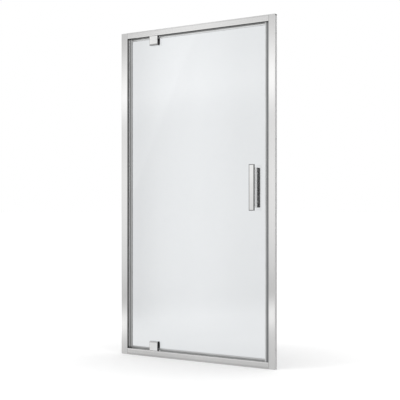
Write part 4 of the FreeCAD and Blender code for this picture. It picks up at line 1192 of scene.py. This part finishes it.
strike_legs, magnet_face = corners_of("strike_edge_seal")[:, 0]
step = glass_high[0] + 0.0015
strike_clip = [
    (strike_legs, leg_front), (step - groove, leg_front), (step, leg_front + groove),
    (step + groove, leg_front), (magnet_face, leg_front), (magnet_face, leg_back),
    (step + groove, leg_back), (step, leg_back - groove), (step - groove, leg_back),
    (strike_legs, leg_back), (strike_legs, grip_back),
    (grip_strike, grip_back), (grip_strike, grip_front), (strike_legs, grip_front),
]
strike_clip_radii = [0.0005] + [0.0001] * 3 + [0.0007] * 2 + [0.0001] * 3 + [0.0005] + [0.0001] * 4
make_piece("strike_edge_soft_seal",
           [carried(strike_clip, edge_bottom, edge_top, "Z", strike_clip_radii, steps=3)],
           strike_vinyl, "door", "clear_seal", "strike_edge_seal")

# %% Wipers along the rails
wiper_low, wiper_high = corners_of("bottom_seal_handle_side")
web_low, web_high = glass_low[2] - 0.0015, glass_high[2] + 0.0015
grip_low, grip_high = glass_low[2] - air, glass_high[2] + air
lip_root, lip_end = 0.0015, 0.0007
vane_thick, vane_lift = 0.0011, 0.0006
vane_lean, vane_shoulder = 0.0003, 0.00075
vane_foot = wiper_low[2] + vane_lift
vane_root = leg_back - vane_thick + vane_lean
wiper = [
    (leg_front, web_low), (glass_middle - lip_root, web_low), (glass_middle - lip_end, wiper_low[2]),
    (glass_middle + lip_end, wiper_low[2]), (glass_middle + lip_root, web_low), (vane_root, web_low),
    (wiper_high[1] - vane_thick, vane_foot), (wiper_high[1], vane_foot), (leg_back, web_low + vane_shoulder),
    (leg_back, wiper_high[2]), (grip_back, wiper_high[2]), (grip_back, grip_low),
    (grip_front, grip_low), (grip_front, wiper_high[2]), (leg_front, wiper_high[2]),
]
wiper_radii = [0.0005, 0.0003, 0.0006, 0.0006, 0.0003, 0.0002, 0.0004, 0.0004, 0.0003, 0.0004,
               0.0001, 0.0001, 0.0001, 0.0001, 0.0004]
top_low, top_high = corners_of("top_seal_handle_side")
top_wiper = [
    (leg_front, top_low[2]), (grip_front, top_low[2]), (grip_front, grip_high),
    (grip_back, grip_high), (grip_back, top_low[2]), (leg_back, top_low[2]),
    (leg_back, web_high), (glass_middle + lip_root, web_high), (glass_middle + lip_end, top_high[2]),
    (glass_middle - lip_end, top_high[2]), (glass_middle - lip_root, web_high), (leg_front, web_high),
]
top_wiper_radii = [0.0004, 0.0001, 0.0001, 0.0001, 0.0001, 0.0004, 0.0005, 0.0003, 0.0006, 0.0006,
                   0.0003, 0.0005]
for node, outline, radii, finish in (
        ("bottom_seal_hinge_side", wiper, wiper_radii, bottom_vinyl),
        ("bottom_seal_handle_side", wiper, wiper_radii, bottom_vinyl),
        ("top_seal_hinge_side", top_wiper, top_wiper_radii, top_vinyl),
        ("top_seal_handle_side", top_wiper, top_wiper_radii, top_vinyl)):
    low, high = corners_of(node)
    make_piece(node + "_wiper", [carried(outline, low[0], high[0], "X", radii)], finish, "door",
               "clear_seal", node)
